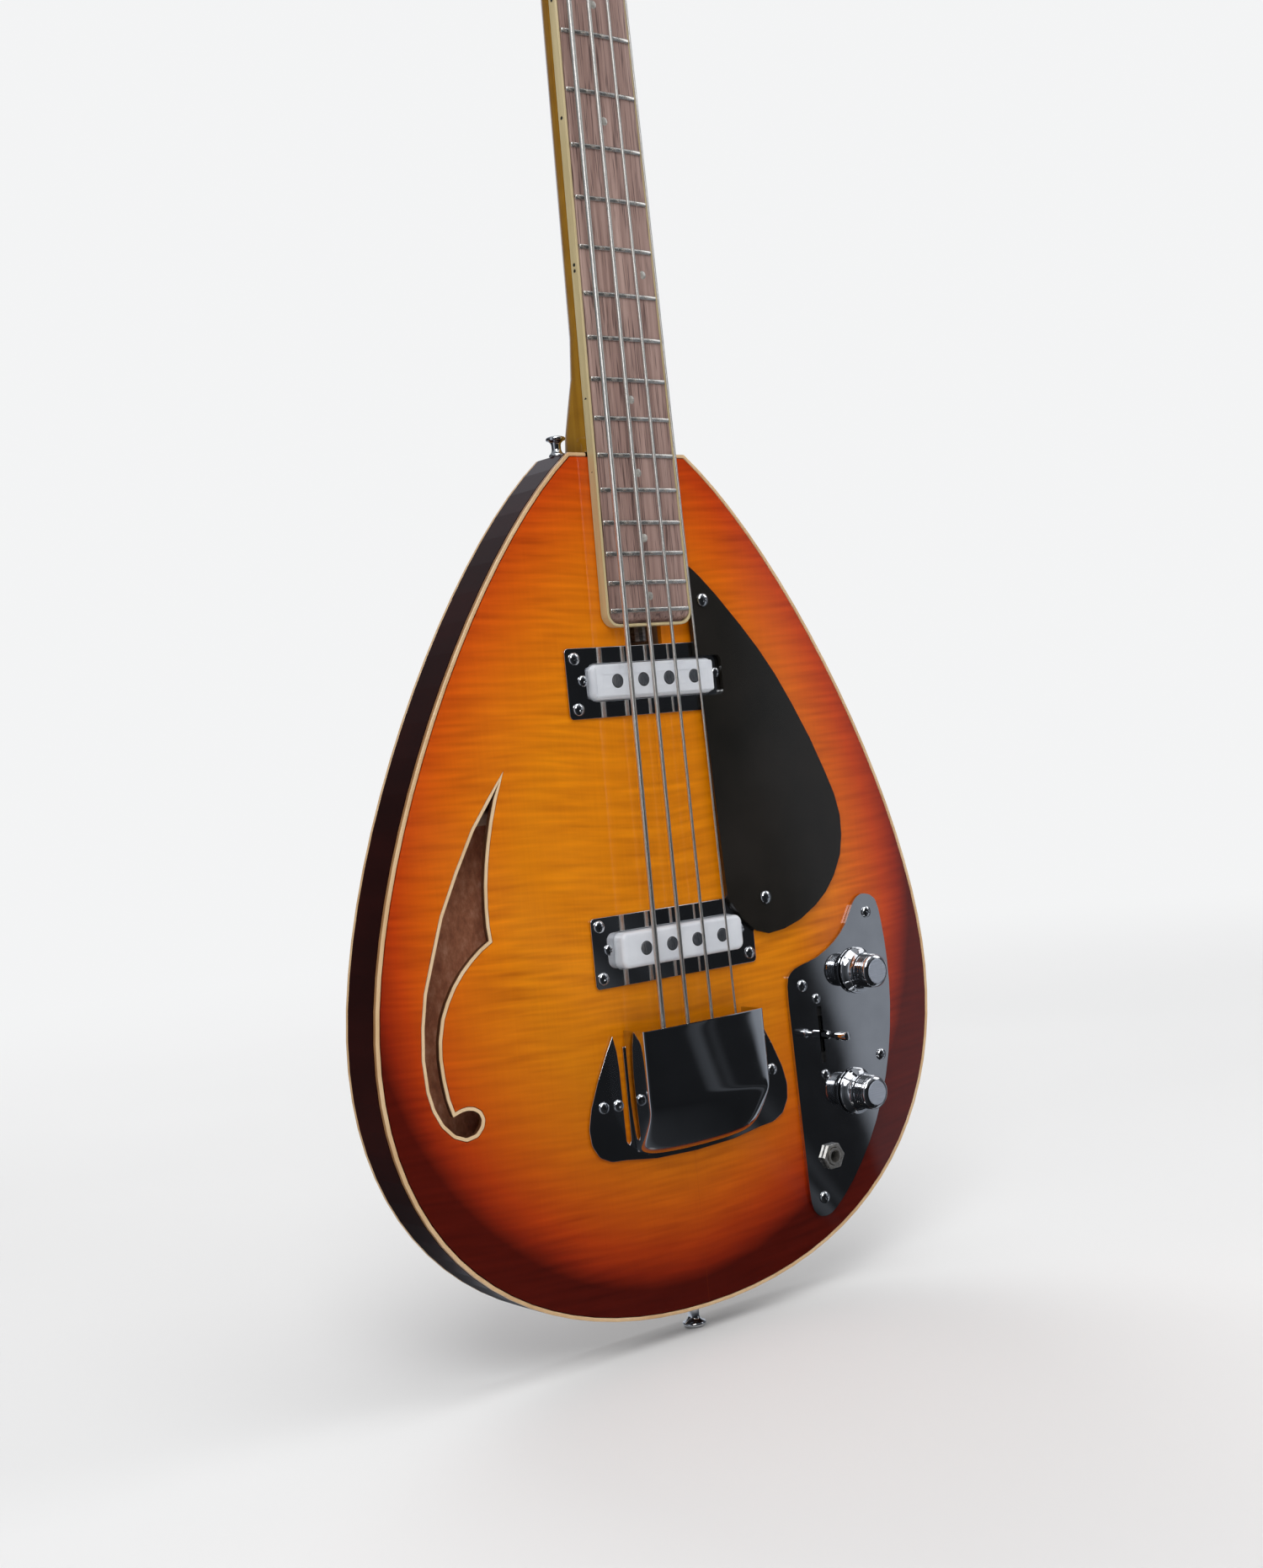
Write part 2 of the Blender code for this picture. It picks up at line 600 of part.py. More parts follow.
def head_outline():
    """A plain tapered headstock whose left edge follows the posts."""
    first, last = post_at(0), post_at(3)
    lean = (last[0] - first[0]) / (last[1] - first[1])
    left = first[0] - 14.5 * MM
    z0 = NUT_Z + NUT_T
    top = last[1] + 44 * MM
    points = [(NUT_HALF * 0.98, z0), (NUT_HALF + 1.5 * MM, z0 + 10 * MM), (25 * MM, z0 + 32 * MM),
              (27 * MM, z0 + 60 * MM), (25 * MM, z0 + 110 * MM), (21 * MM, z0 + 150 * MM)]
    points += arc(4 * MM, top - 16 * MM, 16 * MM, 10, 150, 6)
    points += [(left + lean * (last[1] + 14 * MM - first[1]), last[1] + 16 * MM),
               (left, first[1] - 4 * MM), (left + 3 * MM, first[1] - 12 * MM),
               (left + 9 * MM, z0 + 12 * MM), (-NUT_HALF - MM, z0 + 3 * MM), (-NUT_HALF * 0.98, z0)]
    return points


def post_at(index):
    return POST_X + POST_STEP_X * index, NUT_Z + POST_Z * (index + 1)


def make_fingerboard():
    """The board's top is crowned across and carries the frets as pressed-in ridges."""
    rows = []
    round_in = BOARD_CORNER - BOARD_BINDING - GAP
    base = BOARD_END_Z + BOARD_BINDING + GAP
    for k in range(4):
        angle = math.radians(90 * k / 4)
        z = base + round_in * (1 - math.cos(angle))
        rows.append((z, board_half(z) - BOARD_BINDING - GAP - round_in * (1 - math.sin(angle)), 0))
    last = SADDLE_Z + SCALE * 2 ** (-FRETS / 12)
    for n in range(FRETS, 0, -1):
        z = SADDLE_Z + SCALE * 2 ** (-n / 12)
        for offset, rise in ((-0.5, 0), (-0.28, FRET_H), (0.28, FRET_H), (0.5, 0)):
            at = z + offset * FRET_W
            if n == FRETS and at < rows[-1][0] + 0.2 * MM:
                continue
            rows.append((at, board_half(at) - BOARD_BINDING - GAP, rise))
    rows.append((NUT_Z, board_half(NUT_Z) - BOARD_BINDING - GAP, 0))
    across = 6
    bm = bmesh.new()
    tops, lows = [], []
    for z, half, rise in rows:
        crown = []
        for i in range(across + 1):
            share = 2 * i / across - 1
            h = BOARD_EDGE_H + rise + BOARD_CROWN * (1 - share ** 2)
            crown.append(bm.verts.new((half * share, y_of(h), z)))
        tops.append(crown)
        lows.append((bm.verts.new((-half, y_of(GAP), z)), bm.verts.new((half, y_of(GAP), z))))
    for a in range(len(rows) - 1):
        for i in range(across):
            bm.faces.new((tops[a][i], tops[a][i + 1], tops[a + 1][i + 1], tops[a + 1][i]))
        bm.faces.new((lows[a][0], lows[a + 1][0], tops[a + 1][0], tops[a][0]))
        bm.faces.new((lows[a][1], tops[a][-1], tops[a + 1][-1], lows[a + 1][1]))
    bm.faces.new([pair[0] for pair in lows] + [pair[1] for pair in reversed(lows)])
    bm.faces.new([lows[0][0]] + tops[0] + [lows[0][1]])
    bm.faces.new([lows[-1][1]] + list(reversed(tops[-1])) + [lows[-1][0]])
    finish("fingerboard", bm, ((0.10, 0.045, 0.035), 0.45, 0.0))

    corner = board_half(BOARD_END_Z)
    right = [(NUT_HALF, NUT_Z)] + [(x, z) for x, z in reversed(
        arc(corner - BOARD_CORNER, BOARD_END_Z + BOARD_CORNER, BOARD_CORNER, -90, 0, 5))]
    inner_r = BOARD_CORNER - BOARD_BINDING
    inner = [(NUT_HALF - BOARD_BINDING, NUT_Z)] + [(x, z) for x, z in reversed(
        arc(corner - BOARD_CORNER, BOARD_END_Z + BOARD_CORNER, inner_r, -90, 0, 5))]
    outer = right + [(-x, z) for x, z in reversed(right)]
    inner = inner + [(-x, z) for x, z in reversed(inner)]
    band("fingerboard_binding", outer, inner, GAP, BOARD_EDGE_H, CREAM, closed=False)


def make_nut():
    """A slotted bar: each slot is as wide as its string, and its floor carries it."""
    section = [(-NUT_HALF, GAP), (NUT_HALF, GAP), (NUT_HALF, NUT_REST_H + 0.8 * MM)]
    for i in (3, 2, 1, 0):
        x = string_x(i, NUT_Z)
        wide = STRING_R[i] + GAP
        section += [(x + wide, NUT_REST_H + 1.4 * MM), (x + wide, NUT_REST_H),
                    (x - wide, NUT_REST_H), (x - wide, NUT_REST_H + 1.4 * MM)]
    section.append((-NUT_HALF, NUT_REST_H + 0.8 * MM))
    slab("string_nut", section, NUT_Z + GAP, NUT_Z + NUT_T, ((0.78, 0.74, 0.62), 0.4, 0.0))


def make_truss_rod():
    start = TENON_END_Z - GAP

    def place(a, b, along):
        return a, y_of(-ROD_DEPTH) + b, along

    turned("truss_rod", [(0, start), (ROD_R, start), (ROD_R, NUT_Z - 12 * MM), (0, NUT_Z - 12 * MM)],
           place, ((0.4, 0.4, 0.42), 0.35, 1.0), 10)
    low = ROD_SLOT_Z + 2 * MM
    high = start - GAP
    socket = 2.3 * MM
    wide = 4.2 * MM
    nut = turned("truss_rod_nut", [(0, low + 5 * MM), (socket, low + 5 * MM), (socket, low),
                                   (wide, low), (wide, high), (0, high)], place, NICKEL, 12)
    move_origin(nut, (0, y_of(-ROD_DEPTH), low))


def make_retainer():
    """A round bar over the strings behind the nut, on two feet."""
    z = NUT_Z + RETAINER_Z
    h = NUT_REST_H - RETAINER_PRESS + RETAINER_R
    half = NUT_HALF + 2.5 * MM
    bar = turned("string_retainer", [(0, -half), (RETAINER_R, -half), (RETAINER_R, half), (0, half)],
                 lambda a, b, along: (along, y_of(h) + a, z + b), CHROME, 12)
    for side in (-1, 1):
        x = side * (half - 1.8 * MM)
        foot = turned(f"tool_retainer_foot_{side}", [(0, -HEAD_DROP + GAP), (1.6 * MM, -HEAD_DROP + GAP),
                      (1.6 * MM, h), (0, h)], out_of_top(x, z), CHROME, 10)
        combine(bar, foot, "UNION")


# Tuners
def make_tuner(index):
    x, z = post_at(index)
    back = -HEAD_DROP - HEAD_T
    plate_h = back - GAP - TUNER_T
    gear_top = plate_h - GAP
    worm_h = gear_top - GEAR_T / 2
    worm_z = z + GEAR_R + WORM_R + 1.3 * GAP
    plate = box(f"tuner_plate_{index + 1}", x - LUG_X - LUG_T, x + LUG_X + LUG_T, plate_h, back - GAP,
                z - 11 * MM, worm_z + 5.5 * MM, CHROME)
    for side in (-1, 1):
        lug_x = x + side * LUG_X
        lug = box(f"tool_lug_{index}_{side}", lug_x - LUG_T / 2, lug_x + LUG_T / 2,
                  worm_h - 4.6 * MM, plate_h + MM, worm_z - 4.6 * MM, worm_z + 4.6 * MM)
        combine(plate, lug, "UNION")
    combine(plate, turned(f"tool_plate_hole_{index}", [(0, -60 * MM), (POST_R + RUN, -60 * MM),
                          (POST_R + RUN, 20 * MM), (0, 20 * MM)], out_of_top(x, z), BLACK, 24))
    reach = LUG_X + LUG_T
    bore = KEY_R + RUN
    far_out = reach + MM
    combine(plate, turned(f"tool_lug_hole_{index}",
                          [(0, -far_out), (bore, -far_out), (bore, far_out), (0, far_out)],
                          lambda a, b, along: (x + along, y_of(worm_h) + a, worm_z + b), BLACK, 12))

    tip = -HEAD_DROP + POST_H
    bore_r = 1.6 * MM
    post = turned(f"tuner_post_{index + 1}",
                  [(0, gear_top - GEAR_T), (GEAR_R, gear_top - GEAR_T), (GEAR_R, gear_top),
                   (POST_R, gear_top), (POST_R, tip - 0.6 * MM), (POST_R - 0.6 * MM, tip),
                   (bore_r, tip), (bore_r, tip - 9 * MM), (0, tip - 9 * MM)],
                  out_of_top(x, z), CHROME, 2 * GEAR_TEETH,
                  lambda row, step, r: r * (0.9 if row in (1, 2) and step % 2 else 1))
    move_origin(post, (x, y_of(gear_top), z))

    collar = BUTTON_X - 4 * MM
    far = BUTTON_X + BUTTON_L
    bulb = [(0.45, 0.0), (0.78, 0.12), (0.97, 0.32), (1.0, 0.55), (0.85, 0.8), (0.5, 0.95)]
    profile = [(0, reach), (KEY_R, reach), (KEY_R, LUG_X - 3 * MM), (WORM_R, LUG_X - 3 * MM),
               (WORM_R, -LUG_X + 3 * MM), (KEY_R, -LUG_X + 3 * MM), (KEY_R, -collar), (4 * MM, -collar),
               (4 * MM, -BUTTON_X)]
    flat_from = len(profile)
    profile += [(BUTTON_R * r, -BUTTON_X - MM - BUTTON_L * t) for r, t in bulb]
    profile.append((0, -far - MM))

    def on_key(a, b, along):
        thickness = BUTTON_FLAT if along < -BUTTON_X - 0.5 * MM else 1
        return x + along, y_of(worm_h) + a * thickness, worm_z + b

    key = turned(f"tuner_key_{index + 1}", profile, on_key, CHROME, 16)
    move_origin(key, (x, y_of(worm_h), worm_z))


# Strings
def make_string(index):
    r = STRING_R[index]
    rest = SADDLE_REST_H + GAP + r
    points = [(string_x(index, SADDLE_Z), ANCHOR_H, FLANGE_Z - FLANGE_T - 5.5 * MM)]
    x = points[0][0]
    radii = [0.6 * BALL_R]
    for z, radius in ((FLANGE_Z - FLANGE_T - 4.9 * MM, BALL_R), (FLANGE_Z - FLANGE_T - 1.2 * MM, BALL_R),
                      (FLANGE_Z - FLANGE_T - 0.6 * MM, r), (FLANGE_Z + MM, r)):
        points.append((x, ANCHOR_H, z))
        radii.append(radius)
    nut_h = NUT_REST_H + GAP + r
    points.append((x, rest, SADDLE_Z))
    points.append((string_x(index, NUT_Z), nut_h, NUT_Z + NUT_T + GAP))
    bar_h = NUT_REST_H - RETAINER_PRESS - 2 * GAP - r
    start = (string_x(index, NUT_Z) * 0.97, NUT_Z + RETAINER_Z)
    points.append((start[0], bar_h, start[1]))
    cx, cz = post_at(index)
    wind = POST_R + RUN + 1.1 * r
    away = math.hypot(cx - start[0], cz - start[1])
    heading = math.atan2(cz - start[1], cx - start[0]) - math.asin(wind / away)
    along = math.sqrt(away ** 2 - wind ** 2)
    touch = (start[0] + along * math.cos(heading), start[1] + along * math.sin(heading))
    first = math.atan2(touch[1] - cz, touch[0] - cx)
    top = -HEAD_DROP + WIND_H
    steps = 12
    turns = 2
    for k in range(turns * steps + 1):
        angle = first + 2 * math.pi * k / steps
        drop = (2 * r + 0.5 * MM) * k / steps
        points.append((cx + wind * math.cos(angle), top - drop, cz + wind * math.sin(angle)))
    radii += [r] * (len(points) - len(radii))
    names = ("string_e", "string_a", "string_d", "string_g")
    world = [(px, y_of(ph), pz) for px, ph, pz in points]
    tube(names[index], world, radii, NICKEL, 6)


# Pickups
def make_pickup(index):
    name = ("neck", "bridge")[index]
    z = PICKUP_Z[index]
    top = PICKUP_TOP_H[index]
    half_x, half_z = PICKUP_HALF
    plate = prism(f"{name}_pickup_plate", rounded_rect(0, z, *PICKUP_PLATE_HALF, 2 * MM, 2),
                  GAP, GAP + PICKUP_PLATE_T, CHROME)
    opening = rounded_rect(0, z, half_x + RUN, half_z + RUN, PICKUP_CORNER + RUN)
    combine(plate, prism(f"tool_plate_opening_{index}", opening, -5 * MM, 9 * MM, BLACK))

    cover = prism(f"{name}_pickup_cover", rounded_rect(0, z, half_x, half_z, PICKUP_CORNER),
                  -PICKUP_SKIRT, top, WHITE)
    bev = cover.modifiers.new("soft_edges", "BEVEL")
    bev.width = 1.2 * MM
    bev.segments = 2
    bev.limit_method = "ANGLE"
    bev.angle_limit = math.radians(60)
    inner = rounded_rect(0, z, half_x - PICKUP_WALL, half_z - PICKUP_WALL, PICKUP_CORNER - PICKUP_WALL)
    room = prism(f"tool_cover_inside_{index}", inner, -PICKUP_SKIRT - 9 * MM, top - PICKUP_WALL, BLACK)
    combine(cover, room)
    gap_x, gap_z = half_x - PICKUP_WALL - GAP, half_z - PICKUP_WALL - GAP
    core = box(f"{name}_pickup_core", -gap_x, gap_x, -PICKUP_SKIRT + MM, top - PICKUP_WALL - GAP,
               z - gap_z + 2 * MM, z + gap_z - 2 * MM, ((0.09, 0.09, 0.10), 0.4, 0.4))
    for i in range(4):
        at = out_of_top((i - 1.5) * POLE_SPACING, z)
        hole = POLE_R + GAP
        combine(cover, turned(f"tool_pole_hole_{index}_{i}",
                              [(0, 0), (hole, 0), (hole, top + 9 * MM), (0, top + 9 * MM)], at, BLACK, 16))
        combine(core, turned(f"tool_pole_{index}_{i}", [(0, 0), (POLE_R, 0), (POLE_R, top + 0.1 * MM),
                             (0, top + 0.1 * MM)], at, NICKEL, 16), "UNION")
    for obj in (cover, core):
        move_origin(obj, (0, y_of(0), z))


# Bridge
def bridge_outline():
    half = [(0, 79.5), (25, 80.4), (44, 83.2), (53, 84), (60, 87.4), (64, 94), (64.8, 102), (62.5, 111.5),
            (56.8, 124.5), (50.5, 136.5), (45.6, 144.8), (43.9, 137), (43.2, 128), (43, 116), (43, 92),
            (41.4, 90.4), (39.9, 92)]
    points = [(x * MM, z * MM) for x, z in half] + [(COVER_HALF + 0.9 * MM, 138.5 * MM)]
    return mirrored(points)


def make_bridge():
    base = GAP + BRIDGE_T
    plate = prism("bridge_plate", bridge_outline(), GAP, base, CHROME)
    width = 1.5 * SADDLE_SPACING + 6 * MM
    section = [(-width, base - 0.5 * MM), (width, base - 0.5 * MM), (width, FLANGE_H)]
    for i in (3, 2, 1, 0):
        x = string_x(i, SADDLE_Z)
        wide = STRING_R[i] + GAP
        section += [(x + wide, FLANGE_H), (x + wide, ANCHOR_H - wide), (x - wide, ANCHOR_H - wide),
                    (x - wide, FLANGE_H)]
    section.append((-width, FLANGE_H))
    combine(plate, slab("tool_flange", section, FLANGE_Z - FLANGE_T, FLANGE_Z, CHROME), "UNION")

    low = base + GAP
    for i, name in enumerate(("saddle_e", "saddle_a", "saddle_d", "saddle_g")):
        x = string_x(i, SADDLE_Z)
        front, rear = SADDLE_Z + 0.45 * SADDLE_L, SADDLE_Z - 0.55 * SADDLE_L
        profile = [(rear, low), (front, low), (front, SADDLE_REST_H - 2 * MM),
                   (SADDLE_Z + 0.15 * SADDLE_L, SADDLE_REST_H), (SADDLE_Z, SADDLE_REST_H),
                   (rear, SADDLE_REST_H - 6 * MM)]
        side_prism(name, profile, x - SADDLE_HALF, x + SADDLE_HALF, CHROME)

    cover = cover_shape("bridge_cover", 0)
    combine(cover, cover_shape("tool_cover_room", COVER_T))


def cover_shape(name, wall):
    """The outside at wall 0; with a wall, the room inside, open at the front and below."""
    low = 2 * GAP + BRIDGE_T - (6 * MM if wall else 0)
    front = COVER_FRONT_Z + (6 * MM if wall else 0)
    slope = (COVER_CREASE_Z - COVER_REAR_Z) / COVER_H
    rear = COVER_REAR_Z + 1.3 * wall
    profile = [(front, low), (front, COVER_H - wall), (COVER_CREASE_Z + 0.4 * wall, COVER_H - wall),
               (rear + slope * 0.1 * COVER_H, 0.3 * COVER_H), (rear, 0.2 * COVER_H),
               (rear, low)]
    half = COVER_HALF - wall
    obj = side_prism(name, profile, -half, half, CHROME)
    if wall:
        return obj
    bm = bmesh.new()
    bm.from_mesh(obj.data)
    soft = []
    for edge in bm.edges:
        a, b = (v.co for v in edge.verts)
        low_edge = max(a.y, b.y) > y_of(low) - 1e-6 and abs(a.y - b.y) < 1e-6
        front_edge = min(a.z, b.z) > front - 1e-6
        if not low_edge and not front_edge and edge.calc_face_angle(0) > math.radians(40):
            soft.append(edge)
    bmesh.ops.bevel(bm, geom=soft, offset=COVER_ROUND, segments=2, profile=0.5, affect="EDGES")
    bm.to_mesh(obj.data)
    bm.free()
    obj.data.polygons.foreach_set("use_smooth", [True] * len(obj.data.polygons))
    return obj


# Pickguard, controls and jack
def guard_outline():
    side = GAP + 0.4 * MM
    tip = GUARD_OUTER[0][1] + 3 * MM
    notch_z = PICKUP_Z[0]
    room = 1.3 * MM
    left = 30 * MM
    up, down = notch_z + PICKUP_HALF[1] + room, notch_z - PICKUP_HALF[1] - room
    out = PICKUP_HALF[0] + 6 * MM
    points = list(GUARD_OUTER)
    points += [(left + 0.6 * MM, down)]
    points += arc(out - 3 * MM, down + 3 * MM, 3 * MM, -90, 0, 3)
    points += arc(out - 3 * MM, up - 3 * MM, 3 * MM, 0, 90, 3)
    points += [(board_half(BOARD_END_Z) + side + 0.8 * MM, up),
               (board_half(BOARD_END_Z) + side + 0.4 * MM, BOARD_END_Z),
               (board_half(tip) + side, tip)]
    return points


def make_guard():
    guard = prism("pickguard", guard_outline(), GUARD_H, GUARD_H + GUARD_T, BLACK)
    for i, (x, z) in enumerate(GUARD_SCREWS):
        hole = SCREW_R + GAP
        combine(guard, turned(f"tool_guard_hole_{i}",
                              [(0, -9 * MM), (hole, -9 * MM), (hole, 9 * MM), (0, 9 * MM)],
                              out_of_top(x, z), BLACK, 12))
        head = GUARD_H + GUARD_T + GAP
        turned(f"pickguard_screw_{i + 1}",
               [(0, -TOP_T), (0.5 * SCREW_R, -TOP_T), (SCREW_R, -TOP_T + MM), (SCREW_R, head),
                (SCREW_HEAD_R, head), (0.7 * SCREW_HEAD_R, head + 1.3 * MM), (0, head + 1.6 * MM)],
               out_of_top(x, z), CHROME, 16)


def make_controls():
    plate_low, plate_top = GAP, GAP + CONTROL_T
    plate = prism("control_plate", CONTROL_OUTLINE, plate_low, plate_top, CHROME)
    for i, (x, z) in enumerate(KNOBS):
        at = out_of_top(x, z)
        hole = BUSH_R + GAP
        combine(plate, turned(f"tool_pot_hole_{i}",
                              [(0, -9 * MM), (hole, -9 * MM), (hole, 9 * MM), (0, 9 * MM)], at, BLACK, 20))
        bush = plate_top + BUSH_UP
        bore = SHAFT_R + RUN
        turned(f"pot_body_{i + 1}",
               [(0, -POT_D), (POT_R, -POT_D), (POT_R, 0), (BUSH_R, 0), (BUSH_R, bush),
                (bore, bush), (bore, -POT_D / 2), (0, -POT_D / 2)], at,
               ((0.55, 0.55, 0.56), 0.35, 1.0), 20)
        tip = KNOB_TOP_H - 3 * MM
        foot = -POT_D / 2 + GAP
        shaft = turned(f"pot_shaft_{i + 1}", [(0, foot), (SHAFT_R, foot), (SHAFT_R, tip), (0, tip)],
                       at, NICKEL, 14)
        under = bush + RUN
        room = BUSH_R + 2 * RUN
        socket = SHAFT_R + GAP
        skirt = plate_top + 2 * RUN
        knob = turned(f"knob_{i + 1}",
                      [(0, tip + GAP), (socket, tip + GAP), (socket, under), (room, under), (room, skirt),
                       (KNOB_SKIRT_R, skirt), (KNOB_SKIRT_R, skirt + 1.5 * MM),
                       (KNOB_R + 0.6 * MM, skirt + 4.6 * MM), (KNOB_R, skirt + 5.2 * MM),
                       (KNOB_R, KNOB_TOP_H - 0.8 * MM), (KNOB_R - 0.8 * MM, KNOB_TOP_H),
                       (0, KNOB_TOP_H)], at, CHROME, 28)
        for obj in (shaft, knob):
            move_origin(obj, (x, y_of(plate_top), z))

    x, z = SWITCH_AT
    slot_x, slot_z = SWITCH_SLOT_HALF
    combine(plate, box("tool_switch_slot", x - slot_x, x + slot_x, -9 * MM, 9 * MM, z - slot_z, z + slot_z))
    body = box("switch_body", x - SWITCH_HALF[0], x + SWITCH_HALF[0], -SWITCH_D, 0, z - SWITCH_HALF[1],
               z + SWITCH_HALF[1], ((0.03, 0.03, 0.03), 0.5, 0.0))
    combine(body, box("tool_switch_room", x - slot_x, x + slot_x, -LEVER_PIVOT - 4 * MM, 9 * MM,
                      z - 0.65 * slot_z, z + 0.65 * slot_z))
    blade = plate_top + 4 * MM
    foot = -LEVER_PIVOT - 2 * MM
    profile = [(0, foot), (LEVER_R, foot), (LEVER_R, blade), (LEVER_R, blade + 2 * MM),
               (LEVER_R * 0.9, LEVER_TOP_H - 6 * MM), (LEVER_R * 1.15, LEVER_TOP_H - 3 * MM),
               (LEVER_R, LEVER_TOP_H - MM), (LEVER_R * 0.5, LEVER_TOP_H), (0, LEVER_TOP_H)]

    def on_lever(a, b, along):
        thickness = LEVER_FLAT if along < blade + MM else 1
        return SWITCH_AT[0] + a * thickness, y_of(along), SWITCH_AT[1] + b

    lever = turned("switch_lever", profile, on_lever, CHROME, 12)
    move_origin(lever, (x, y_of(-LEVER_PIVOT), z))

    x, z = JACK_AT
    at = out_of_top(x, z)
    hole = JACK_R + GAP
    combine(plate, turned("tool_jack_hole", [(0, -9 * MM), (hole, -9 * MM), (hole, 9 * MM), (0, 9 * MM)],
                          at, BLACK, 20))
    lip = plate_top + 3 * MM
    turned("output_jack", [(0, -JACK_D), (JACK_R, -JACK_D), (JACK_R, -4 * MM), (JACK_NUT_R, -4 * MM),
                           (JACK_NUT_R, 0), (JACK_R, 0), (JACK_R, lip), (JACK_BORE_R, lip),
                           (JACK_BORE_R, -JACK_D + 2 * MM), (0, -JACK_D + 2 * MM)], at, NICKEL, 20)
    nut_low = plate_top + GAP
    nut_top = nut_low + 2.2 * MM
    nut = turned("jack_nut", [(0, nut_low), (JACK_NUT_R, nut_low), (JACK_NUT_R, nut_top), (0, nut_top)],
                 at, NICKEL, 6)
    combine(nut, turned("tool_nut_bore", [(0, 0), (hole, 0), (hole, 9 * MM), (0, 9 * MM)], at, BLACK, 20))


def make_loom():
    """Bundled leads from the bridge pickup's rout to the first potentiometer."""
    x, z = KNOBS[0]
    deep = -13 * MM
    points = [(32 * MM, deep, PICKUP_Z[1]), (78 * MM, deep, PICKUP_Z[1]),
              (92 * MM, deep + MM, PICKUP_Z[1] - 8 * MM), (100 * MM, -8 * MM, z + 8 * MM),
              (x - POT_R - LOOM_R - GAP, -6 * MM, z)]
    tube("wiring_loom", [(px, y_of(ph), pz) for px, ph, pz in points], [LOOM_R] * len(points),
         ((0.03, 0.03, 0.03), 0.6, 0.0), 8)


make_body()
make_block()
make_strap_buttons()
make_neck()
make_fingerboard()
make_nut()
make_truss_rod()
make_retainer()
for number in range(4):
    make_tuner(number)
for number in range(4):
    make_string(number)
for number in range(2):
    make_pickup(number)
make_bridge()
make_guard()
make_controls()
make_loom()
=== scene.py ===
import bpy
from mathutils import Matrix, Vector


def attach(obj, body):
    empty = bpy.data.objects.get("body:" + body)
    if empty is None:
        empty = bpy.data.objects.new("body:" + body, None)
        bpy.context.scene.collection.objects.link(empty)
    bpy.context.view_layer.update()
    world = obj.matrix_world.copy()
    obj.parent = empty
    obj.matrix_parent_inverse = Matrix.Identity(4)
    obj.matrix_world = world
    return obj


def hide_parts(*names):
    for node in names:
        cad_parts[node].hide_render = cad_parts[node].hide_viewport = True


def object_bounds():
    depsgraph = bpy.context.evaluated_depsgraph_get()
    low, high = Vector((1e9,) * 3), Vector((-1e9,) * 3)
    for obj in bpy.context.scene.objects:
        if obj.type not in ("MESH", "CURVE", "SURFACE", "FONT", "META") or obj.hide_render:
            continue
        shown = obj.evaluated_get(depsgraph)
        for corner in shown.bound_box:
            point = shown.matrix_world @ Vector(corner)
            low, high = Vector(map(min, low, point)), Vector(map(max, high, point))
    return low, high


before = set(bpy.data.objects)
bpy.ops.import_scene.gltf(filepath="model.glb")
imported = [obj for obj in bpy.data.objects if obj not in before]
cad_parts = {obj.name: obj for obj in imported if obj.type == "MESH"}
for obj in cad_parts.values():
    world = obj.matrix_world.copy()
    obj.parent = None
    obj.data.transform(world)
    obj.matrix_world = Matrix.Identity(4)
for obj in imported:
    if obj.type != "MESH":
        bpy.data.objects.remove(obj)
cad_box = [list(corner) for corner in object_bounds()]

import math
import random

import bpy
from mathutils import Matrix, Vector

# Studio and camera. The instrument stands upright on its tail button on a plain pale floor, lit by
# wide soft lamps, and the camera stands low on the bass side, where the photograph was taken from.
FLOOR_Z = cad_box[0][2] - 0.0002
FLOOR_R = 12.0
VIEW_SPIN = Vector((-0.018, -0.098, 0.658))  # the fitted camera's rotation vector
VIEW_FROM = (-0.6223, -0.7966, 0.2808)
VIEW_LENS = 56.6


def lay_down():
    """Leaves edit mode and deselects everything, so an operator only meets the next piece."""
    if bpy.context.object and bpy.context.object.mode != "OBJECT":
        bpy.ops.object.mode_set(mode="OBJECT")
    bpy.ops.object.select_all(action="DESELECT")


def new_finish(name, roughness=0.5, metallic=0.0, coat=0.0):
    """A new Principled material with its constant values set: its node tree, shader and place."""
    mat = bpy.data.materials.new(name)
    mat.use_nodes = True
    tree = mat.node_tree
    shader = tree.nodes["Principled BSDF"]
    shader.inputs["Roughness"].default_value = roughness
    shader.inputs["Metallic"].default_value = metallic
    shader.inputs["Coat Weight"].default_value = coat
    shader.inputs["Coat Roughness"].default_value = 0.04
    shader.inputs["Specular IOR Level"].default_value = 0.1 if coat == 1.0 else 0.5
    place = tree.nodes.new("ShaderNodeTexCoord").outputs["Object"]
    return mat, tree, shader, place


def node(tree, kind, out=0, settings=None, **inputs):
    """Adds one shader node, links or sets its named or numbered inputs, and returns an output."""
    made = tree.nodes.new("ShaderNode" + kind)
    for key, value in (settings or {}).items():
        setattr(made, key, value)
    for key, value in inputs.items():
        socket = made.inputs[int(key[1:])] if key[0] == "i" and key[1:].isdigit() else made.inputs[key]
        if isinstance(value, bpy.types.NodeSocket):
            tree.links.new(value, socket)
        else:
            socket.default_value = value
    return made.outputs[out]


def maths(tree, operation, a, b=0.0, c=0.0):
    return node(tree, "Math", 0, {"operation": operation}, i0=a, i1=b, i2=c)


def distance(tree, a, b):
    """The length of the diagonal over two sides."""
    return maths(tree, "SQRT", maths(tree, "ADD", maths(tree, "POWER", a, 2.0),
                                     maths(tree, "POWER", b, 2.0)))


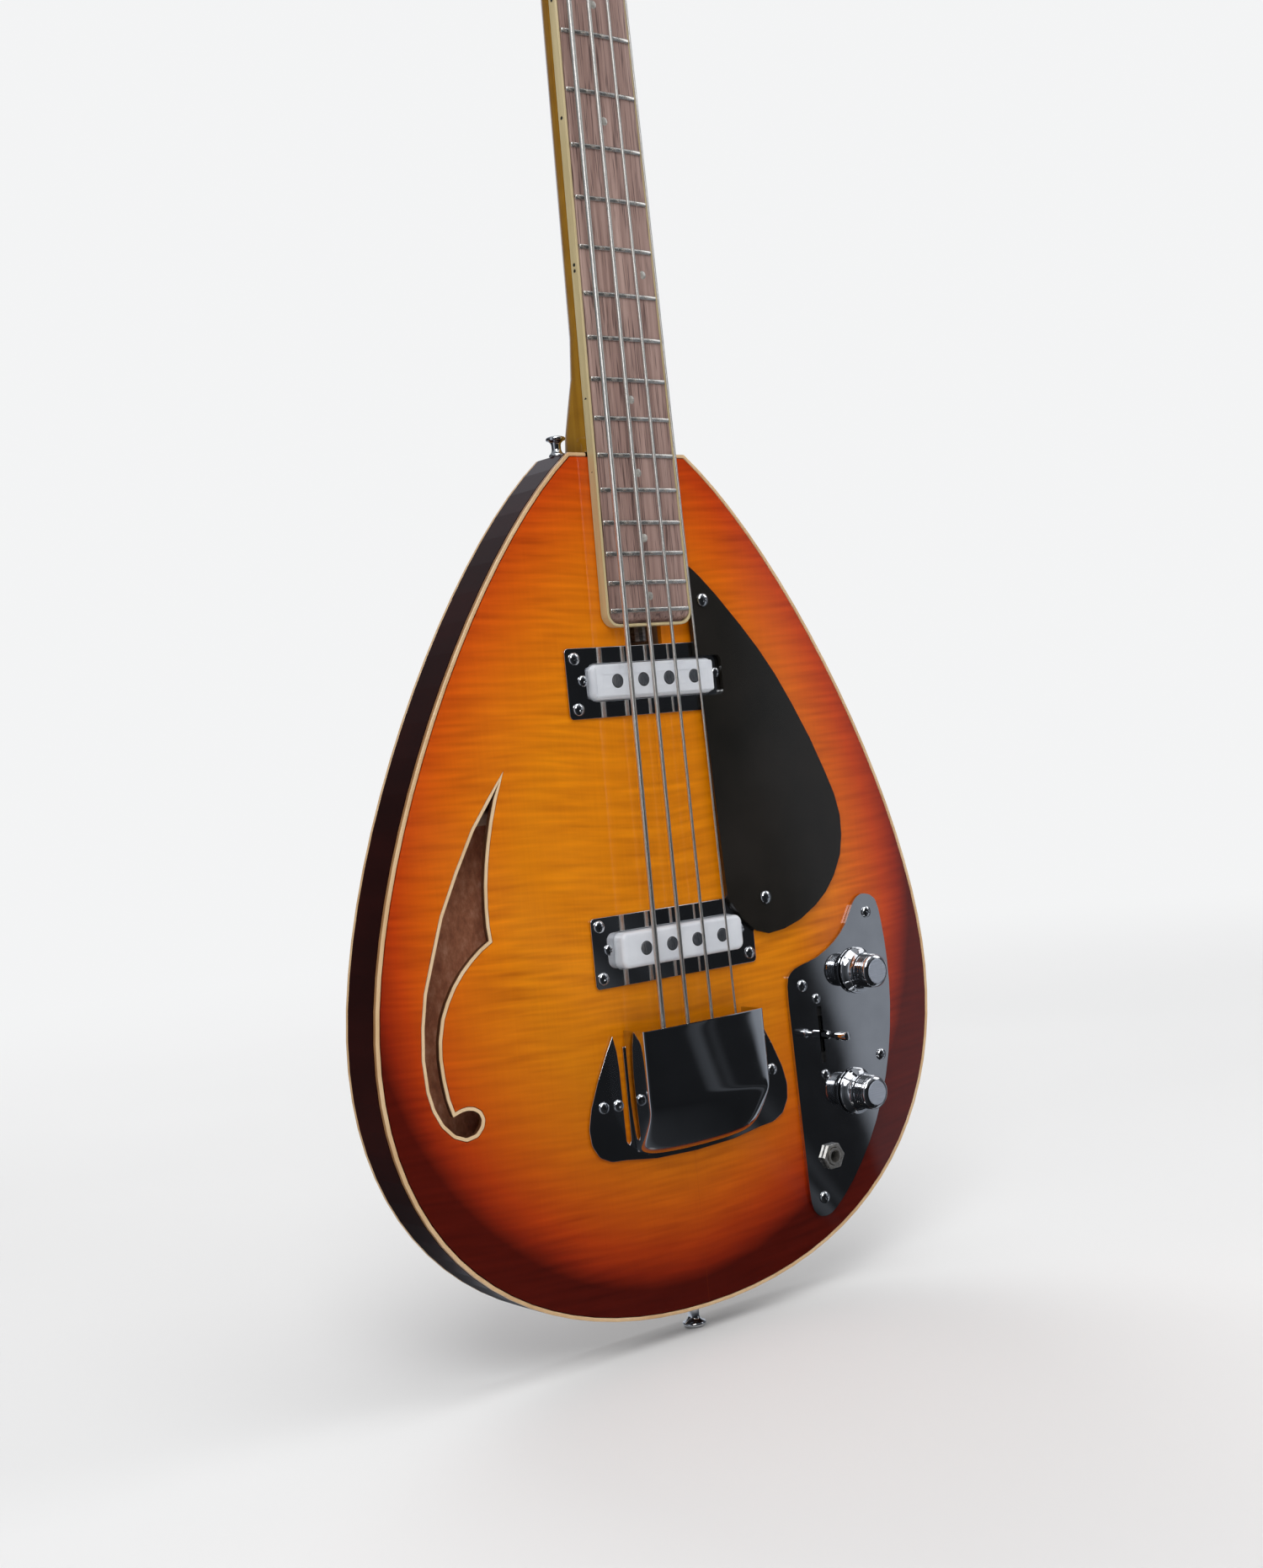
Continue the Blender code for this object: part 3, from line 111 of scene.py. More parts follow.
def ramp(tree, factor, stops):
    """A colour ramp through (place, colour) stops."""
    made = tree.nodes.new("ShaderNodeValToRGB")
    while len(made.color_ramp.elements) < len(stops):
        made.color_ramp.elements.new(1.0)
    for element, (place, colour) in zip(made.color_ramp.elements, stops):
        element.position = place
        element.color = (*colour, 1.0)
    tree.links.new(factor, made.inputs[0])
    return made.outputs[0]


def tinted(tree, shader, factor, stops):
    """Colours a finish by a ramp."""
    tree.links.new(ramp(tree, factor, stops), shader.inputs["Base Color"])


def mixed(tree, factor, a, b, blend="MIX"):
    made = tree.nodes.new("ShaderNodeMix")
    made.data_type = "RGBA"
    made.blend_type = blend
    for socket, value in ((made.inputs[0], factor), (made.inputs[6], a), (made.inputs[7], b)):
        if isinstance(value, bpy.types.NodeSocket):
            tree.links.new(value, socket)
        elif isinstance(value, float):
            socket.default_value = value
        else:
            socket.default_value = (*value, 1.0)
    return made.outputs[2]


def noise(tree, place, scale, detail=2.0, roughness=0.5):
    return node(tree, "TexNoise", Vector=place, Scale=scale, Detail=detail, Roughness=roughness)


# Round the compass, from straight ahead of the instrument's face towards its treble side, the room
# turns from its dark end behind the photographer to lit panels, as polished metal will show.
# Each entry is a share of the full turn and the room's brightness there.
ROOM = [(0.0, 0.015), (0.03, 0.012), (0.0815, 0.014), (0.0825, 0.085), (0.0865, 0.06),
        (0.0872, 0.014), (0.0905, 0.016), (0.0912, 0.07), (0.0935, 0.045), (0.0942, 0.014),
        (0.1135, 0.014), (0.1150, 0.27), (0.165, 0.44), (0.18, 0.10), (0.26, 0.10),
        (0.30, 0.58), (0.44, 0.62), (0.48, 0.20), (0.52, 0.04), (0.70, 0.04), (0.73, 0.50),
        (0.77, 0.60), (0.80, 0.11), (0.87, 0.03), (1.0, 0.015)]
ROOM_TINT = (0.93, 1.0, 1.12)
ROOM_CENTRE = (0.10, 0.03, 0.0)  # where the floor's own view of the room starts from
CEILING = (0.36, 0.38, 0.41)
CEILING_FROM, CEILING_FULL = 0.35, 1.4  # slopes of sight between which the ceiling comes in
BACKDROP = (0.90, 0.905, 0.91)
DIFFUSE_LIGHT = (0.42, 0.42, 0.43)


def room_light(tree, heading, seen):
    """How bright the room is along a heading; the camera itself always meets the pale backdrop."""
    x, y, z = node(tree, "SeparateXYZ", Vector=heading).node.outputs
    turn = maths(tree, "ARCTAN2", x, maths(tree, "MULTIPLY", y, -1.0))
    turn = maths(tree, "FRACT", maths(tree, "MULTIPLY_ADD", turn, 0.5 / math.pi, 1.0))
    around = ramp(tree, turn, [(at, [tone * tint for tint in ROOM_TINT]) for at, tone in ROOM])
    climb = maths(tree, "DIVIDE", z, maths(tree, "ADD", distance(tree, x, y), 0.0001))
    high = node(tree, "MapRange", Value=climb, i1=CEILING_FROM, i2=CEILING_FULL)
    around = mixed(tree, high, around, CEILING)
    return mixed(tree, seen.outputs["Is Camera Ray"], around, BACKDROP)


def direct_sight(tree, seen):
    """One for rays from the camera, a mirror or clear matter, nought for diffuse light."""
    bounced = maths(tree, "MAXIMUM", seen.outputs["Is Glossy Ray"], seen.outputs["Is Transmission Ray"])
    return maths(tree, "MAXIMUM", seen.outputs["Is Camera Ray"], bounced)


stage_mat, tree, shader, place = new_finish("studio_floor", 0.9)
shader.inputs["Specular IOR Level"].default_value = 0.2
tinted(tree, shader, noise(tree, place, 1.5), [(0.3, (0.80, 0.80, 0.795)), (0.7, (0.83, 0.83, 0.825))])
seen = tree.nodes.new("ShaderNodeLightPath")
glow = tree.nodes.new("ShaderNodeEmission")
toward = node(tree, "VectorMath", 0, {"operation": "SUBTRACT"}, i0=place, i1=ROOM_CENTRE)
tree.links.new(room_light(tree, toward, seen), glow.inputs["Color"])
# Away from the instrument the floor fades into the room, and in a mirror it does so at once.
FADE_START = 0.55
FADE_END = 2.2
FADE_END_MIRRORED = 0.03
near = maths(tree, "MULTIPLY", seen.outputs["Is Camera Ray"], FADE_START)
full = maths(tree, "MULTIPLY_ADD", seen.outputs["Is Camera Ray"], FADE_END - FADE_END_MIRRORED,
             FADE_END_MIRRORED)
far = node(tree, "MapRange", 0, {"interpolation_type": "SMOOTHSTEP"},
           Value=node(tree, "VectorMath", 1, {"operation": "LENGTH"}, i0=place), i1=near, i2=full)
blend = tree.nodes.new("ShaderNodeMixShader")
tree.links.new(maths(tree, "MULTIPLY", far, direct_sight(tree, seen)), blend.inputs[0])
tree.links.new(shader.outputs[0], blend.inputs[1])
tree.links.new(glow.outputs[0], blend.inputs[2])
tree.links.new(blend.outputs[0], tree.nodes["Material Output"].inputs[0])
lay_down()
bpy.ops.mesh.primitive_circle_add(vertices=96, radius=FLOOR_R, fill_type="NGON",
                                  location=(0, 0, FLOOR_Z))
floor = bpy.context.object
floor.name = "studio_floor"
floor.data.materials.append(stage_mat)

# Name, place, size in metres and power in watts of each lamp; all point at the same spot.
LAMP_AIM = Vector((0, 0, 0.4))
LAMPS = [("soft_key", (-1.5, -1.9, 2.3), 1.6, 42.0), ("soft_fill", (2.3, -1.0, 1.8), 1.4, 10.0),
         ("soft_back", (0.6, 2.2, 1.9), 1.8, 26.0), ("soft_top", (0.0, -0.6, 3.0), 2.0, 22.0)]
for name, spot, size, power in LAMPS:
    lay_down()
    bpy.ops.object.light_add(type="AREA", location=spot)
    lamp = bpy.context.object
    lamp.name = name
    lamp.data.size = size
    lamp.data.energy = power
    lamp.visible_glossy = name != "soft_back"
    lamp.rotation_euler = (LAMP_AIM - Vector(spot)).to_track_quat("-Z", "Y").to_euler()

world = bpy.data.worlds.new("pale_room")
bpy.context.scene.world = world
world.use_nodes = True
tree = world.node_tree
sky = tree.nodes["Background"]
seen = tree.nodes.new("ShaderNodeLightPath")
heading = tree.nodes.new("ShaderNodeTexCoord").outputs["Generated"]
tree.links.new(mixed(tree, direct_sight(tree, seen), DIFFUSE_LIGHT, room_light(tree, heading, seen)),
               sky.inputs["Color"])

lay_down()
bpy.ops.object.camera_add(location=VIEW_FROM)
camera = bpy.context.object
turn = Matrix.Rotation(VIEW_SPIN.length, 3, VIEW_SPIN.normalized())
turn = Matrix((turn[0], turn[2], -turn[1])).transposed().to_4x4()
camera.matrix_world = Matrix.Translation(VIEW_FROM) @ turn
camera.data.sensor_fit = "HORIZONTAL"
camera.data.sensor_width = 36.0
camera.data.lens = VIEW_LENS
camera.data.clip_start = 0.02
bpy.context.scene.camera = camera
bpy.context.scene.view_settings.view_transform = "Standard"

# Sunburst top. A flamed maple plate, three millimetres thick, glued over the rim and the centre block
# under a thick gloss lacquer: amber in the middle, burnt orange, then dark red-brown along the edge.
BURST_CENTRE_X = -0.007
BURST_CENTRE_Z = 0.196
BURST_REACH = 0.28  # the curve below gives the edge's distance as a share of this
EDGE_BY_ANGLE = [(0.0, 0.650), (0.12, 0.639), (0.25, 0.627), (0.36, 0.624), (0.5, 0.620),
                 (0.62, 0.634), (0.72, 0.680), (0.82, 0.760), (0.90, 0.860), (0.96, 0.950),
                 (1.0, 0.998)]
FLAME_GRAIN = (24.0, 1.0, 330.0)  # across, through and along the body
SEAM_HALF = 0.00025
SEAM_SHARE = 0.14


def grained(tree, place, scale, detail, roughness=0.5):
    """Noise squeezed or stretched along each axis, for grain that runs one way."""
    return noise(tree, node(tree, "Mapping", Vector=place, Scale=scale), 1.0, detail, roughness)


def relief(tree, shader, height, strength, depth):
    bump = node(tree, "Bump", Height=height, Strength=strength, Distance=depth)
    tree.links.new(bump, shader.inputs["Normal"])


def paint(mat, *names):
    """Gives CAD nodes their finished material."""
    for name in names:
        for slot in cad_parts[name].material_slots:
            slot.material = mat


top_mat, tree, shader, place = new_finish("sunburst_flamed_maple", 0.32, 0.0, 1.0)
x, y, z = node(tree, "SeparateXYZ", Vector=place).node.outputs
across = maths(tree, "ABSOLUTE", x)
sideways = maths(tree, "ABSOLUTE", maths(tree, "SUBTRACT", x, BURST_CENTRE_X))
along = maths(tree, "SUBTRACT", z, BURST_CENTRE_Z)
angle = maths(tree, "ARCTAN2", along, sideways)
share = maths(tree, "MULTIPLY_ADD", angle, 1 / math.pi, 0.5)
curve = tree.nodes.new("ShaderNodeFloatCurve")
line = curve.mapping.curves[0]
line.points[0].location = EDGE_BY_ANGLE[0]
line.points[1].location = EDGE_BY_ANGLE[-1]
for at in EDGE_BY_ANGLE[1:-1]:
    line.points.new(*at)
curve.mapping.update()
tree.links.new(share, curve.inputs["Value"])
reach = maths(tree, "MULTIPLY", curve.outputs[0], BURST_REACH)
burst = maths(tree, "DIVIDE", distance(tree, sideways, along), reach)
cloud = noise(tree, place, 9.0, 3.0)
burst = maths(tree, "ADD", burst, maths(tree, "MULTIPLY_ADD", cloud, 0.07, -0.035))
stain = ramp(tree, burst, [(0.0, (0.73, 0.225, 0.002)), (0.50, (0.71, 0.207, 0.001)),
                           (0.68, (0.68, 0.155, 0.001)), (0.80, (0.62, 0.098, 0.001)),
                           (0.89, (0.50, 0.047, 0.001)), (0.955, (0.29, 0.018, 0.001)),
                           (1.0, (0.10, 0.005, 0.001))])
# Flame runs across the grain and mirrors at the glued centre seam.
folded = node(tree, "CombineXYZ", X=across, Y=y, Z=z)
wander = grained(tree, folded, (9.0, 9.0, 16.0), 1.0)
sway = maths(tree, "MULTIPLY_ADD", wander, 0.010, maths(tree, "MULTIPLY", across, -0.06))
flame_place = node(tree, "CombineXYZ", X=across, Y=0.0, Z=maths(tree, "ADD", z, sway))
flame = grained(tree, flame_place, FLAME_GRAIN, 2.0, 0.4)
patches = grained(tree, folded, (22.0, 1.0, 14.0), 1.0)
depth = maths(tree, "MULTIPLY", patches, 1.2)
stripe = maths(tree, "MULTIPLY", maths(tree, "SUBTRACT", flame, 0.5), node(tree, "Clamp", Value=depth))
fibre = grained(tree, folded, (900.0, 900.0, 24.0), 2.0)
figure = maths(tree, "MULTIPLY_ADD", fibre, 0.12, maths(tree, "MULTIPLY_ADD", stripe, 1.5, 0.95))
shade = node(tree, "CombineColor", Red=maths(tree, "POWER", figure, 0.75), Green=figure,
             Blue=maths(tree, "POWER", figure, 1.25))
wood = mixed(tree, 1.0, stain, shade, "MULTIPLY")
# Painted shade: the colour darkens towards the tail, as the light falls off down the body.
tail_shade_greys = ((0.0, 0.66), (0.23, 0.79), (0.45, 0.94), (0.9, 1.0))
height = ramp(tree, maths(tree, "MULTIPLY", z, 2.3), [(at, (grey, grey, grey)) for at, grey in tail_shade_greys])
wood = mixed(tree, 1.0, wood, height, "MULTIPLY")
seam = maths(tree, "LESS_THAN", across, SEAM_HALF)
wood = mixed(tree, maths(tree, "MULTIPLY", seam, SEAM_SHARE), wood, (0.25, 0.04, 0.002))
tree.links.new(wood, shader.inputs["Base Color"])
relief(tree, shader, fibre, 0.06, 0.0002)
paint(top_mat, "top_plate")

# Rim and back. The bent sides and the back plate carry a nearly black burgundy gloss lacquer outside;
# inside, behind the sound hole, the wood is bare and brown.
FRONT_Y = -0.014  # the top's face; the back's outside is as far behind zero
SKIN = 0.001  # how deep the back's outside colour goes


def weighed(tree, a, share, b):
    """A mean of two values that gives the first one its share."""
    return maths(tree, "MULTIPLY_ADD", a, share, maths(tree, "MULTIPLY", b, 1 - share))


side_mat, tree, shader, place = new_finish("burgundy_lacquered_side", 0.28, 0.0, 0.45)
shader.inputs["Specular IOR Level"].default_value = 0.1
mottle = grained(tree, place, (30.0, 8.0, 11.0), 3.0)
curl = grained(tree, place, (60.0, 5.0, 60.0), 2.0)
tone = weighed(tree, curl, 0.35, mottle)
tinted(tree, shader, tone, [(0.25, (0.008, 0.0014, 0.001)), (0.5, (0.017, 0.0024, 0.0015)),
                            (0.78, (0.034, 0.0045, 0.0028))])
paint(side_mat, "rim")

back_mat, tree, shader, place = new_finish("burgundy_back_with_bare_inside", 0.3)
inward = node(tree, "SeparateXYZ", 1, Vector=place)
outer = maths(tree, "GREATER_THAN", inward, -FRONT_Y - SKIN)
curl = grained(tree, place, (26.0, 1.0, 130.0), 2.0)
grain = grained(tree, place, (420.0, 100.0, 16.0), 3.0)
gloss = ramp(tree, curl, [(0.3, (0.026, 0.004, 0.002)), (0.7, (0.070, 0.011, 0.005))])
mottle = grained(tree, place, (240.0, 100.0, 130.0), 4.0, 0.7)
bare = ramp(tree, mottle, [(0.3, (0.40, 0.145, 0.075)), (0.5, (0.60, 0.24, 0.125)),
                           (0.72, (0.80, 0.40, 0.25))])
tree.links.new(mixed(tree, outer, bare, gloss), shader.inputs["Base Color"])
tree.links.new(maths(tree, "MULTIPLY_ADD", outer, -0.68, 0.80), shader.inputs["Roughness"])
relief(tree, shader, grain, 0.1, 0.0003)
paint(back_mat, "back_plate")

# Centre block. Plain unfinished wood under the top, which carries the pickups, the bridge and the
# neck's tenon.
bare_mat, tree, shader, place = new_finish("bare_inner_wood", 0.78)
grain = grained(tree, place, (260.0, 260.0, 12.0), 3.0)
rings = grained(tree, place, (40.0, 40.0, 2.0), 2.0)
tone = weighed(tree, grain, 0.6, rings)
tinted(tree, shader, tone, [(0.3, (0.22, 0.11, 0.05)), (0.7, (0.44, 0.27, 0.15))])
relief(tree, shader, grain, 0.25, 0.0004)
paint(bare_mat, "centre_block")

# Bindings. Cream plastic strips let into the front and back edges and round the sound hole and the
# fingerboard, scraped flush and lacquered over, so their corners are slightly rounded. Their face is
# cream, and down the edge binding's side and the sound hole's wall the colour is darkened as painted shade.
EDGE_FACE = 0.0007  # how deep the edge binding's face goes; below it, down the side, shade is painted
HOLE_FACE = 0.0006  # the same for the sound hole's; below it the wall is painted dark as shade
WELD = 0.00001  # points closer than this are one
FLAT_BEND = 1.5  # degrees; facets that meet flatter than this are joined
OUTLINE_BENDS = (4, 50)  # degrees; bends between these come from a curved outline
UPRIGHT = 0.00002  # how far an outline's edge may lean
binding_mat, tree, shader, place = new_finish("cream_binding", 0.3, 0.0, 0.6)
age = noise(tree, place, 38.0, 3.0)
streak = grained(tree, place, (300.0, 300.0, 8.0), 2.0)
tone = weighed(tree, streak, 0.3, age)
colour = ramp(tree, tone, [(0.3, (0.56, 0.34, 0.16)), (0.55, (0.68, 0.46, 0.25)),
                           (0.8, (0.76, 0.57, 0.35))])
# Painted shade: below the face, down the binding's side, the cream is multiplied by a brown as if the side
# were in shadow.
inward = node(tree, "SeparateXYZ", 1, Vector=place)
side = maths(tree, "MULTIPLY", maths(tree, "GREATER_THAN", inward, FRONT_Y + EDGE_FACE),
             maths(tree, "LESS_THAN", inward, 0.0))
colour = mixed(tree, side, colour, mixed(tree, 1.0, colour, (0.50, 0.36, 0.24), "MULTIPLY"))
tree.links.new(colour, shader.inputs["Base Color"])


def take_up(piece):
    """Puts a new object into the scene as the only one selected."""
    lay_down()
    bpy.context.scene.collection.objects.link(piece)
    bpy.context.view_layer.objects.active = piece
    piece.select_set(True)


def applied(piece, kind, **settings):
    """Adds a modifier to the active piece and applies it at once."""
    step = piece.modifiers.new(kind.lower(), kind)
    for key, value in settings.items():
        setattr(step, key, value)
    bpy.ops.object.modifier_apply(modifier=step.name)


def softened(name, part, width, mat, body="body", bends=50, steps=2, outline=0.0):
    """A copy of a CAD node with merged doubles and rounded edges, which then stands for the node.

    A plate's straight-sided outline is first rounded at its shallow corners, by outline.
    """
    piece = bpy.data.objects.new(name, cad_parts[part].data.copy())
    take_up(piece)
    if piece.data.has_custom_normals:
        bpy.ops.mesh.customdata_custom_splitnormals_clear()
    bpy.ops.object.mode_set(mode="EDIT")
    bpy.ops.mesh.select_all(action="SELECT")
    bpy.ops.mesh.remove_doubles(threshold=WELD)
    bpy.ops.mesh.dissolve_limited(angle_limit=math.radians(FLAT_BEND))
    bpy.ops.mesh.normals_make_consistent(inside=False)
    if outline:
        corners = []
        for least in OUTLINE_BENDS:
            bpy.ops.mesh.select_all(action="DESELECT")
            bpy.context.tool_settings.mesh_select_mode = (False, True, False)
            bpy.ops.mesh.edges_select_sharp(sharpness=math.radians(least))
            bpy.ops.object.mode_set(mode="OBJECT")
            edges = [edge for edge in piece.data.edges if edge.select]
            corners.append({tuple(sorted(edge.vertices)) for edge in edges})
            bpy.ops.object.mode_set(mode="EDIT")
        bpy.ops.mesh.select_all(action="DESELECT")
        bpy.ops.object.mode_set(mode="OBJECT")
        points = piece.data.vertices
        for edge in piece.data.edges:
            a, b = (points[number].co for number in edge.vertices)
            shallow = tuple(sorted(edge.vertices)) in corners[0] - corners[1]
            edge.select = shallow and abs(a.x - b.x) < UPRIGHT and abs(a.z - b.z) < UPRIGHT
        bpy.ops.object.mode_set(mode="EDIT")
        bpy.ops.mesh.bevel(offset=outline, segments=3, affect="EDGES", clamp_overlap=True)
    bpy.ops.object.mode_set(mode="OBJECT")
    bpy.ops.object.shade_smooth_by_angle(angle=math.radians(bends))
    applied(piece, "BEVEL", width=width, segments=steps, limit_method="ANGLE",
            angle_limit=math.radians(bends), harden_normals=True)
    piece.data.materials.clear()
    piece.data.materials.append(mat)
    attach(piece, body)
    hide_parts(part)


for part in ("front_binding", "back_binding"):
    softened("rounded_" + part, part, 0.0006, binding_mat)
hole_mat, tree, shader, place = new_finish("sound_hole_binding", 0.4, 0.0, 0.3)
inward = node(tree, "SeparateXYZ", 1, Vector=place)
age = noise(tree, place, 60.0, 3.0)
cream = ramp(tree, age, [(0.3, (0.66, 0.45, 0.24)), (0.7, (0.80, 0.60, 0.38))])
# Painted shade: below the face, the hole's wall takes this dark brown, standing for the shade inside the
# hole.
dark = ramp(tree, age, [(0.3, (0.050, 0.016, 0.006)), (0.7, (0.10, 0.034, 0.012))])
tree.links.new(mixed(tree, maths(tree, "GREATER_THAN", inward, FRONT_Y + HOLE_FACE), cream, dark),
               shader.inputs["Base Color"])
softened("rounded_f_hole_binding", "f_hole_binding", 0.0002, hole_mat, bends=60, steps=1,
         outline=0.0009)

edge_mat, tree, shader, place = new_finish("ivory_fingerboard_binding", 0.32, 0.0, 0.5)
age = grained(tree, place, (200.0, 200.0, 14.0), 3.0)
tinted(tree, shader, age, [(0.3, (0.48, 0.38, 0.19)), (0.7, (0.63, 0.52, 0.30))])
softened("rounded_fingerboard_binding", "fingerboard_binding", 0.0005, edge_mat)

# Back brace. A pale spruce bar with a rounded top, left bare and glued across the inside of the back
# to stiffen it; it shows through the sound hole.
brace_mat, tree, shader, place = new_finish("pale_spruce_brace", 0.75)
grain = grained(tree, place, (12.0, 300.0, 420.0), 3.0)
tinted(tree, shader, grain, [(0.3, (0.55, 0.36, 0.24)), (0.7, (0.80, 0.60, 0.45))])
relief(tree, shader, grain, 0.2, 0.0003)
softened("rounded_back_brace", "back_brace", 0.003, brace_mat, steps=4)

# Neck. Maple under an amber gloss lacquer, with a half-round shaft, a glued heel and a plain tapered
# headstock that continues the same wood; its corners are softened by sanding.
neck_mat, tree, shader, place = new_finish("amber_lacquered_maple", 0.3, 0.0, 1.0)
grain = grained(tree, place, (260.0, 260.0, 7.0), 3.0)
figure = grained(tree, place, (20.0, 20.0, 90.0), 1.0)
tone = weighed(tree, figure, 0.35, grain)
tinted(tree, shader, tone, [(0.28, (0.24, 0.105, 0.004)), (0.5, (0.33, 0.155, 0.008)),
                            (0.75, (0.42, 0.215, 0.018))])
relief(tree, shader, grain, 0.05, 0.0002)
softened("lacquered_neck", "neck", 0.0008, neck_mat, bends=42)

# Fingerboard. Oiled rosewood with a slight crown across it, rounded corners at the body end, and
# twenty-one nickel frets pressed into slots; small pearl dots mark the places.
BOARD_END_Z = 0.3445
BOARD_EDGE_H = 0.006
BOARD_CROWN = 0.001
CROWN_STEP = 0.0042
BOARD_ROUND = 0.0052  # radius of the two corners at the body end
BOARD_BINDING = 0.0018
CROWN_HALF = 0.0235  # how far from the middle the crown has run out
HALF_AT_NUT = 0.0191
HALF_AT_LAST_FRET = 0.0268
NUT_Z = 0.897
SADDLE_Z = 0.122
SCALE = 0.775
FRETS = 21
FRET_H = 0.0011
FRET_HALF_W = 0.0012
FRET_ROUND = 0.0009
FRET_SUNK = 0.0004
DOT_FRETS = (3, 5, 7, 9, 12, 15, 17, 19, 21)
DOT_R = 0.0021
PAIR_X = 0.0155  # the twelfth fret's two dots stand this far from the middle
SIDE_DOT_R = 0.0009
SIDE_DOT_H = 0.0032
SIDE_PAIR_Z = 0.003
CLOSE = 0.0001  # points this near to a line or a plane are on it


def fret_z(number):
    return SADDLE_Z + SCALE * 2 ** (-number / 12)


def board_half(z):
    """Half width of the board inside its binding."""
    last = fret_z(FRETS)
    narrowing = (HALF_AT_NUT - HALF_AT_LAST_FRET) * (z - last) / (NUT_Z - last)
    return HALF_AT_LAST_FRET + narrowing - BOARD_BINDING


def crown(x):
    """How far the board's face stands above its edges."""
    return BOARD_CROWN * (1 - (x / CROWN_HALF) ** 2)


def select_points(piece, test):
    """In edit mode, selects just the vertices that pass a test on their place."""
    bpy.ops.mesh.select_all(action="DESELECT")
    bpy.ops.object.mode_set(mode="OBJECT")
    for point in piece.data.vertices:
        point.select = test(point.co)
    bpy.ops.object.mode_set(mode="EDIT")
    bpy.context.tool_settings.mesh_select_mode = (True, False, False)


def select_edges(piece, test):
    """In edit mode, selects just the edges whose two ends pass a test."""
    bpy.ops.mesh.select_all(action="DESELECT")
    bpy.ops.object.mode_set(mode="OBJECT")
    points = piece.data.vertices
    for edge in piece.data.edges:
        edge.select = test(points[edge.vertices[0]].co, points[edge.vertices[1]].co)
    bpy.ops.object.mode_set(mode="EDIT")
    bpy.context.tool_settings.mesh_select_mode = (False, True, False)


def block(name, low, high):
    """A cube grown between two corners, left in edit mode for shaping, with its object at zero."""
    lay_down()
    bpy.ops.mesh.primitive_cube_add(size=1.0, location=(0, 0, 0))
    piece = bpy.context.object
    piece.name = name
    bpy.ops.object.mode_set(mode="EDIT")
    bpy.ops.mesh.select_all(action="SELECT")
    bpy.ops.transform.resize(value=[b - a for a, b in zip(low, high)], center_override=(0, 0, 0))
    bpy.ops.transform.translate(value=[(a + b) / 2 for a, b in zip(low, high)])
    return piece


def crowned(piece, places, below):
    """Slices a straight piece at places across it, and raises its face there along the crown."""
    bpy.ops.mesh.select_all(action="SELECT")
    for x in places:
        bpy.ops.mesh.bisect(plane_co=(x, 0, 0), plane_no=(1, 0, 0))
        bpy.ops.mesh.select_all(action="SELECT")
    for x in places:
        select_points(piece, lambda at: at.y < below and abs(at.x - x) < CLOSE)
        bpy.ops.transform.translate(value=(0, -crown(x), 0))


def leave_edit():
    """Turns the faces outward and leaves edit mode."""
    bpy.ops.mesh.select_all(action="SELECT")
    bpy.ops.mesh.normals_make_consistent(inside=False)
    bpy.ops.object.mode_set(mode="OBJECT")


def done(piece, mat, body="body", stands_for=(), bends=50):
    """Smooths a piece and hands it its material, body and CAD nodes."""
    if bpy.context.object.mode != "OBJECT":
        leave_edit()
    bpy.ops.object.shade_smooth_by_angle(angle=math.radians(bends))
    if not piece.data.materials:
        piece.data.materials.append(mat)
    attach(piece, body)
    if stands_for:
        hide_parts(*stands_for)


board_mat, tree, shader, place = new_finish("oiled_rosewood", 0.42, 0.0, 0.25)
shader.inputs["Coat Roughness"].default_value = 0.3
pores = grained(tree, place, (1500.0, 1500.0, 45.0), 2.0)
streaks = grained(tree, place, (330.0, 330.0, 6.0), 3.0, 0.6)
bands = grained(tree, place, (90.0, 90.0, 3.0), 2.0)
tone = weighed(tree, streaks, 0.6, bands)
colour = ramp(tree, tone, [(0.3, (0.145, 0.080, 0.065)), (0.5, (0.310, 0.195, 0.165)),
                           (0.72, (0.52, 0.36, 0.31))])
dark = ramp(tree, pores, [(0.34, (0.35, 0.3, 0.3)), (0.46, (1.0, 1.0, 1.0))])
tree.links.new(mixed(tree, 1.0, colour, dark, "MULTIPLY"), shader.inputs["Base Color"])
relief(tree, shader, pores, 0.25, 0.0002)

low_z = BOARD_END_Z + BOARD_BINDING
top_y = FRONT_Y - BOARD_EDGE_H
board = block("crowned_fingerboard", (-0.5, top_y, low_z), (0.5, FRONT_Y - 0.0003, NUT_Z))
for z in (low_z, NUT_Z):
    select_points(board, lambda at: abs(at.z - z) < CLOSE)
    bpy.ops.transform.resize(value=(2 * board_half(z), 1, 1), center_override=(0, top_y, z))
select_edges(board, lambda a, b: max(a.z, b.z) < low_z + 0.001 and abs(a.x - b.x) < CLOSE)
bpy.ops.mesh.bevel(offset=BOARD_ROUND, segments=7, affect="EDGES")
crowned(board, [CROWN_STEP * step for step in range(-5, 6)], top_y + CLOSE)
done(board, board_mat, stands_for=("fingerboard",), bends=25)

nickel_mat, tree, shader, place = new_finish("drawn_nickel", 0.24, 0.9)
wear = noise(tree, place, 420.0, 3.0)
tinted(tree, shader, wear, [(0.3, (0.52, 0.50, 0.47)), (0.7, (0.70, 0.68, 0.64))])
tree.links.new(maths(tree, "MULTIPLY_ADD", wear, 0.2, 0.14), shader.inputs["Roughness"])
for number in range(1, FRETS + 1):
    z = fret_z(number)
    half = board_half(z)
    base_y = top_y + FRET_SUNK
    wire = block(f"fret_{number}", (-half, top_y - FRET_H, z - FRET_HALF_W),
                 (half, base_y, z + FRET_HALF_W))
    select_edges(wire, lambda a, b: max(a.y, b.y) < base_y - FRET_H and abs(a.z - b.z) < CLOSE)
    bpy.ops.mesh.bevel(offset=FRET_ROUND, segments=4, affect="EDGES")
    crowned(wire, [half * step / 4 for step in range(-3, 4)], base_y + FRET_SUNK)
    done(wire, nickel_mat)

